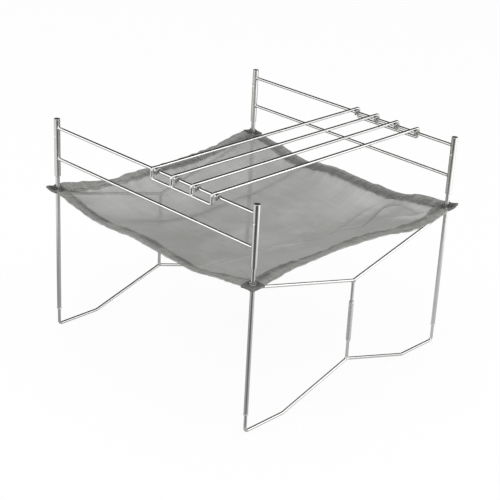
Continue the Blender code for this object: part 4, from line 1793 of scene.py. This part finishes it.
    def patch_spokes(self, seed: int) -> list[tuple[tuple[float, float], float]]:
        """Ways from a pin out to the uneven edge of its corner patch.

        Args:
            seed: Start of the edge's unevenness.

        Returns:
            The way of each spoke, and its length as a share of half the sheet.
        """
        pin = self.form.pin_reach / self.form.half
        inner = pin - self.patch_reach / self.form.half
        uneven = random.Random(seed)
        phases = [uneven.uniform(0, 2 * math.pi) for _ in range(2)]
        spokes = []
        for index, way in enumerate(circle(self.patch_sides)):
            turn = 2 * math.pi * index / self.patch_sides
            far = min(
                ((self.patch_edge if part > 0 else inner) - pin) / part for part in way if abs(part) > 1e-6
            )
            far *= 1 + 0.03 * math.sin(3 * turn + phases[0]) + 0.02 * math.sin(7 * turn + phases[1])
            spokes.append((way, far))
        return spokes

    def build_corner(self, end: End, side: Side, seed: int) -> Object:
        """Make the folded patch of one corner, with a hole for the eyelet.

        Args:
            end: The end of the stand that it is at.
            side: Its side.
            seed: Start of its unevenness.

        Returns:
            The patch.
        """
        form, rounds = self.form, self.patch_rounds
        pin, hole = form.pin_reach / form.half, self.patch_hole / form.half
        spokes = self.patch_spokes(seed)

        def ring(share: float, level: float) -> list[Vector]:
            """Points a share of the way out from the hole to the patch's edge."""
            made = []
            for way, far in spokes:
                gap = blend(hole, far, share)
                corner = (side.value * (pin + way[0] * gap), end.value * (pin + way[1] * gap))
                spot = [min(self.patch_edge, max(-self.patch_edge, part)) for part in corner]
                mitre = bell(abs(spot[0]) - abs(spot[1]), 0.008) * 0.0003 * share
                made.append(form.lifted(spot, level * self.hem_thickness + mitre))
            return made

        shares = spaced(0.0, 1.0, rounds)
        top = [ring(share, 2.0) for share in shares]
        rim = [ring(1.01, 1.1), ring(1.015, 0.0), ring(1.01, -1.0)]
        bottom = [ring(share, -1.7) for share in reversed(shares)]
        rings = top + rim + bottom
        along = [0.0025 * step for step in range(len(rings) + 1)]
        around = [0.0016 * index for index in range(self.patch_sides + 1)]
        draft = MeshDraft()
        draft.loft(rings, along, around, closed=True)
        piece = draft.dressed(f"{end.word}_{side.word}_corner", "patch", self.finishes.patch)
        # Painted shade: dark round the eyelet, and at least 0.60 on the patch's rim and underside.
        eye = Vector((side.value, end.value)) * form.pin_reach
        gaps = [max(0.0, (vertex.co.to_2d() - eye).length - 0.0045) for vertex in piece.data.vertices]
        shades = [0.72 * bell(gap, 0.0064) for gap in gaps]
        under = len(top) * self.patch_sides
        shades[under:] = [max(shade, 0.60) for shade in shades[under:]]
        store_mask(piece, "shade", shades)
        return piece

    def build_eyelet(self, end: End, side: Side) -> Object:
        """Make one pressed eyelet with rolled flanges.

        Args:
            end: The end of the stand that it is at.
            side: Its side.

        Returns:
            The eyelet.
        """
        node = f"{end.word}_{side.word}_eyelet"
        box = Upright(node)
        bore, lip, flange = self.eyelet_bore, self.eyelet_lip, box.radius
        rolled = [
            (bore + 0.00015, 0.0004), (bore + 0.00035, 0.00008), (bore + 0.0006, 0.0),
            (blend(bore, flange, 0.62), 0.00006), (flange - 0.0003, 0.00022), (flange, 0.0005),
            (flange - 0.0001, lip), (self.eyelet_barrel, lip),
        ]
        top = [(out, box.high.z - gone) for out, gone in rolled]
        foot = [(out, box.low.z + gone) for out, gone in reversed(rolled)]
        draft = MeshDraft()
        draft.turned(top + foot, box.foot, sides=36)
        piece = draft.dressed(node, "pressed", self.finishes.eyelet)
        line_bore(piece, self.finishes.bore, box.middle, bore + 0.00003)
        return piece

    def build(self) -> None:
        """Make the slung mesh: its panel, its hems with their stitches, its corner patches and its eyelets.
        """
        panel = self.build_panel()
        carried = []
        for seed, edge in enumerate(Edge, start=5):
            carried += self.build_hem(edge, seed)
        for end in End:
            for side in Side:
                carried.append(self.build_corner(end, side, 3 * end.value + side.value + 9))
                carried.append(self.build_eyelet(end, side))


@dataclass(frozen=True)
class Softbox:
    """A rectangular lamp that looks at the stand."""

    name: str
    place: tuple[float, float, float]
    size: tuple[float, float]
    power: float
    target: tuple[float, float, float] = (0.0, 0.0, 0.18)

    def build(self) -> None:
        """Hang the lamp."""
        lamp = bpy.data.lights.new(self.name, "AREA")
        lamp.shape = "RECTANGLE"
        lamp.size, lamp.size_y = self.size
        lamp.energy = self.power
        made = bpy.data.objects.new(self.name, lamp)
        made.location = self.place
        made.rotation_mode = "QUATERNION"
        made.rotation_quaternion = (Vector(self.target) - Vector(self.place)).to_track_quat("-Z", "Y")
        made.visible_camera = False
        bpy.context.scene.collection.objects.link(made)


def grey(level: float, blue: float = 1.0) -> tuple[float, ...]:
    """A grey with the alpha that a socket asks for, its blue a little more or less."""
    return (level, level, level * blue, 1.0)


@dataclass
class Studio:
    """Pale floor, soft lamps, a white background and the cards that paint reflections in the steel."""

    floor_half: float = 4.0
    floor_level: float = 0.86
    floor_glow: float = 0.93
    # Levels of the cards that paint the steel's reflections: dark cards, a dark fan toward the front, a dark
    # floor behind, grey shade under the stand, and a glow brighter than white at its right.
    card_level: float = 0.05
    fan_levels: tuple[float, float] = (0.26, 0.12)
    back_floor_level: float = 0.16
    ground_levels: tuple[float, float] = (0.34, 0.85)
    ground_radius: float = 0.60
    glow_level: float = 1.7
    glow_span: tuple[float, float] = (0.50, 1.60)
    card_radius: float = 2.6
    back_way: tuple[float, float, float] = (-0.6925, 0.7214, 0.0)
    back_reach: float = 90.0
    sky_strength: float = 1.3
    sky_stops: Profile = ((0.30, 0.13), (0.55, 0.42), (0.75, 0.90))
    front_left_way: tuple[float, float, float] = (-0.63, -0.776, 0.0)
    front_left_rises: tuple[float, ...] = (0.5, 6.0, 12.0, 17.0)
    front_left_reach: float = 32.0
    fan_tip: tuple[float, float] = (0.182, -0.184)
    fan_length: float = 1.5
    fan_half_angle: float = 47.0
    softboxes: tuple[Softbox, ...] = (
        Softbox("left_strip", (-1.45, -1.30, 0.62), (2.2, 1.1), 14.0),
        Softbox("back_right_strip", (1.45, 1.35, 0.62), (2.0, 1.1), 14.0),
        Softbox("front_softbox", (0.9, -1.5, 1.9), (1.6, 1.2), 9.0),
    )

    @staticmethod
    def shown_white(sketch: NodeSketch) -> Socket:
        """A mask of the rays that see the background: from the camera, off metal and through glass."""
        path = sketch.add("LightPath").outputs
        seen = sketch.math("MAXIMUM", path["Is Camera Ray"], path["Is Transmission Ray"])
        return sketch.math("MAXIMUM", seen, path["Is Glossy Ray"])

    def build_floor(self) -> None:
        """Make the floor, white but for the object's shadow."""
        ticks = spaced(-self.floor_half, self.floor_half, 8)
        draft = MeshDraft()
        draft.surface(
            [[Vector((x, y, -0.0001)) for x in ticks] for y in ticks],
            [[(x, y) for x in ticks] for y in ticks],
        )
        sketch = MaterialSketch("studio_floor")
        sketch.feed(sketch.shader, {"Base Color": grey(self.floor_level), "Roughness": 0.9})
        glow = sketch.add("Emission", {"Color": grey(1.0), "Strength": 1.0}).outputs[0]
        share = sketch.math("MULTIPLY", self.shown_white(sketch), self.floor_glow)
        sketch.show(sketch.add("MixShader", {0: share, 1: sketch.shader.outputs[0], 2: glow}).outputs[0])
        draft.piece("floor", sketch.material, closed=False)

    def build_world(self) -> None:
        """Light the room softly, brighter above than at the horizon."""
        world = bpy.data.worlds.new("soft_room")
        bpy.context.scene.world = world
        world.use_nodes = True
        world.node_tree.nodes.clear()
        sketch = NodeSketch(world.node_tree)
        _, _, height = sketch.split(sketch.add("TexCoord").outputs["Generated"])
        ramp = sketch.add("ValToRGB", {"Fac": height})
        stops = ramp.color_ramp.elements
        stops[0].position, stops[0].color = 0.0, grey(0.10)
        stops[1].position, stops[1].color = 1.0, (0.95, 0.95, 0.97, 1.0)
        for position, level in self.sky_stops:
            stops.new(position).color = grey(level, 1.01)
        room = {"Color": ramp.outputs["Color"], "Strength": self.sky_strength}
        white = {"Color": grey(1.0), "Strength": 1.0}
        lit, seen = (sketch.add("Background", sockets).outputs[0] for sockets in (room, white))
        mixed = sketch.add("MixShader", {0: self.shown_white(sketch), 1: lit, 2: seen})
        sketch.add("OutputWorld", {"Surface": mixed.outputs[0]})

    def card_material(self, name: str, levels: tuple[float, float], fade: float) -> Material:
        """Make the grey finish of a card.

        Args:
            name: The finish's name.
            levels: How bright it is at its first end and at its last.
            fade: Share of the card, from its edge inward, over which it fades out.

        Returns:
            The material.
        """
        sketch = MaterialSketch(name)
        off, end, _ = sketch.split(sketch.flat())
        tone = sketch.mix(sketch.between(end, -0.8, 0.8), *(grey(level) for level in levels))
        surface = sketch.add("Emission", {"Color": tone, "Strength": 1.0}).outputs[0]
        if fade > 0:
            cover = sketch.between(sketch.math("ABSOLUTE", off), 1.0 - fade, 1.0, 1.0, 0.0)
            clear = sketch.add("BsdfTransparent").outputs[0]
            surface = sketch.add("MixShader", {0: cover, 1: clear, 2: surface}).outputs[0]
        sketch.show(surface)
        sketch.tree.nodes.remove(sketch.shader)
        return sketch.material

    def add_card(
        self,
        name: str,
        levels: tuple[float, float],
        overs: Sequence[float],
        ups: Sequence[float],
        place: Callable[[float, float], Vector],
        chart: Callable[[float, float], Chart] = lambda over, up: (0.0, 0.0),
        fade: float = 0.0,
    ) -> None:
        """Set up a grey card that only polished steel can see, as a photographer's flag: what it shows in the
        steel is a painted reflection.

        Args:
            name: Name of the card.
            levels: How bright it is at its first end and at its last.
            overs: Steps across it.
            ups: Steps along it.
            place: Where a step across and a step along it lie.
            chart: Their place from the middle to the edge, and from the first end to the last.
            fade: Share of the card, from its edge inward, over which it fades out.
        """
        draft = MeshDraft()
        draft.surface(*([[at(over, up) for over in overs] for up in ups] for at in (place, chart)))
        card = draft.piece(name, self.card_material(f"{name}_finish", levels, fade), closed=False)
        for rays in ("camera", "diffuse", "transmission", "volume_scatter", "shadow"):
            setattr(card, f"visible_{rays}", False)

    def arched(self, ahead: Vector, turn: float, rise: float) -> Vector:
        """A place on the round wall of cards, turned from a level way and raised, in radians."""
        level = math.cos(turn) * ahead + math.sin(turn) * ahead.cross(UP)
        return self.card_radius * (math.cos(rise) * level + math.sin(rise) * UP)

    def build_wall_cards(self) -> None:
        """Set up the card behind the stand and the low one at its front left, which paint dark reflections in
        the steel.
        """
        back, left = (Vector(way).normalized() for way in (self.back_way, self.front_left_way))
        dark = (self.card_level, self.card_level)
        widest = math.radians(self.back_reach)

        def arch(turn: float, share: float) -> Vector:
            """A place under the back card's arch, a share of the way up it."""
            top = math.acos(min(1.0, math.cos(widest) / math.cos(turn)))
            return self.arched(back, turn, blend(0.005, max(0.01, top), share))

        self.add_card("back_card", dark, spaced(-widest, widest, 30), spaced(0.0, 1.0, 18), arch)
        turns = [math.radians(turn) for turn in spaced(-self.front_left_reach, self.front_left_reach, 16)]
        rises = [math.radians(rise) for rise in self.front_left_rises]
        self.add_card("front_left_card", dark, turns, rises, lambda turn, rise: self.arched(left, turn, rise))

    def build_floor_cards(self) -> None:
        """Set up the cards that lie on the floor, each at a level of its own: painted reflections of a dark
        floor toward the front and behind, of shade under the stand, and a painted glow at its right.
        """
        back = Vector(self.back_way).normalized()
        across = back.cross(UP)
        ticks, shares = spaced(-1, 1, 12), spaced(0.0, 1.0, 12)
        slope = math.tan(math.radians(self.fan_half_angle))

        def fan(u: float, v: float) -> Vector:
            """A place of the fan that opens from its tip toward the camera."""
            gone = blend(0.01, self.fan_length, v)
            return Vector((*self.fan_tip, 0.0002)) - back * gone + across * (gone * slope * u)

        def behind(u: float, v: float) -> Vector:
            """A place of the floor behind the stand."""
            gone = blend(0.16, self.card_radius, v)
            return back * gone + across * gone * 1.5 * u + UP * 0.0003

        def ground(u: float, v: float) -> Vector:
            """A place of the round card under the stand, whose grey paints shade into the steel's
            reflections.
            """
            return self.ground_radius * (u * across - v * back) + UP * 0.0001

        def glow(u: float, v: float) -> Vector:
            """A place of the card at the stand's right that paints a bright glow into the steel's
            reflections.
            """
            gone = blend(*self.glow_span, v)
            return across * gone + back * gone * 0.9 * u + UP * 0.0004

        self.add_card(
            "fan_card", self.fan_levels, ticks, shares, fan,
            lambda u, v: (u, min(1.0, 3.0 * blend(0.01, self.fan_length, v) - 1.0)), fade=0.18,
        )
        level = self.back_floor_level
        self.add_card("back_floor_card", (level, level), ticks, shares, behind)
        self.add_card(
            "ground_card", self.ground_levels, ticks, ticks, ground,
            lambda u, v: (math.hypot(u, v), u), fade=0.30,
        )
        level = self.glow_level
        self.add_card(
            "glow_card", (level, level), ticks, shares, glow,
            lambda u, v: (max(abs(u), 1 - 4 * v), 0.0), fade=0.5,
        )

    def build(self) -> None:
        """Make the floor, the world, the lamps and the cards."""
        self.build_floor()
        self.build_world()
        for softbox in self.softboxes:
            softbox.build()
        self.build_wall_cards()
        self.build_floor_cards()
        bpy.context.scene.view_settings.view_transform = "Standard"


@dataclass(frozen=True)
class PhotoCamera:
    """The camera at the photograph's place, from a fit to the stand's corners."""

    place: tuple[float, float, float] = (1.12027, -1.16717, 0.85944)
    ahead: tuple[float, float, float] = (-0.63047, 0.65686, -0.41358)
    right: tuple[float, float, float] = (0.70524, 0.70732, 0.04830)
    focal_pixels: float = 1334.94
    photo_width: float = 500.0
    sensor: float = 36.0

    def build(self) -> None:
        """Add the camera and make it the scene's."""
        lens = bpy.data.cameras.new("photo_camera")
        lens.sensor_width = self.sensor
        lens.lens = self.focal_pixels * self.sensor / self.photo_width
        lens.clip_start, lens.clip_end = 0.05, 60.0
        made = bpy.data.objects.new("photo_camera", lens)
        back = -Vector(self.ahead).normalized()
        right = Vector(self.right)
        right = (right - back * right.dot(back)).normalized()
        up = back.cross(right)
        turn = Matrix((right, up, back)).transposed().to_4x4()
        made.matrix_world = Matrix.Translation(Vector(self.place)) @ turn
        bpy.context.scene.collection.objects.link(made)
        bpy.context.scene.camera = made


def main() -> None:
    """Build the camera, the studio and every sub-assembly of the stand."""
    logging.basicConfig(level=logging.INFO)
    PhotoCamera().build()
    Studio().build()
    LOG.info("camera and studio are in place")
    finishes = Finishes(Effects())
    for side in Side:
        SideFrame(side=side, finishes=finishes).build()
        FootFrame(side=side, finishes=finishes).build()
        LOG.info("%s side frame and foot frame are done", side.word)
    for end in End:
        Rack(end=end, finishes=finishes).build()
        LOG.info("%s rack is done", end.word)
    Grate(finishes=finishes).build()
    LOG.info("grate is done")
    MeshBed(finishes).build()
    LOG.info("slung mesh is done")


if __name__ == "__main__":
    main()
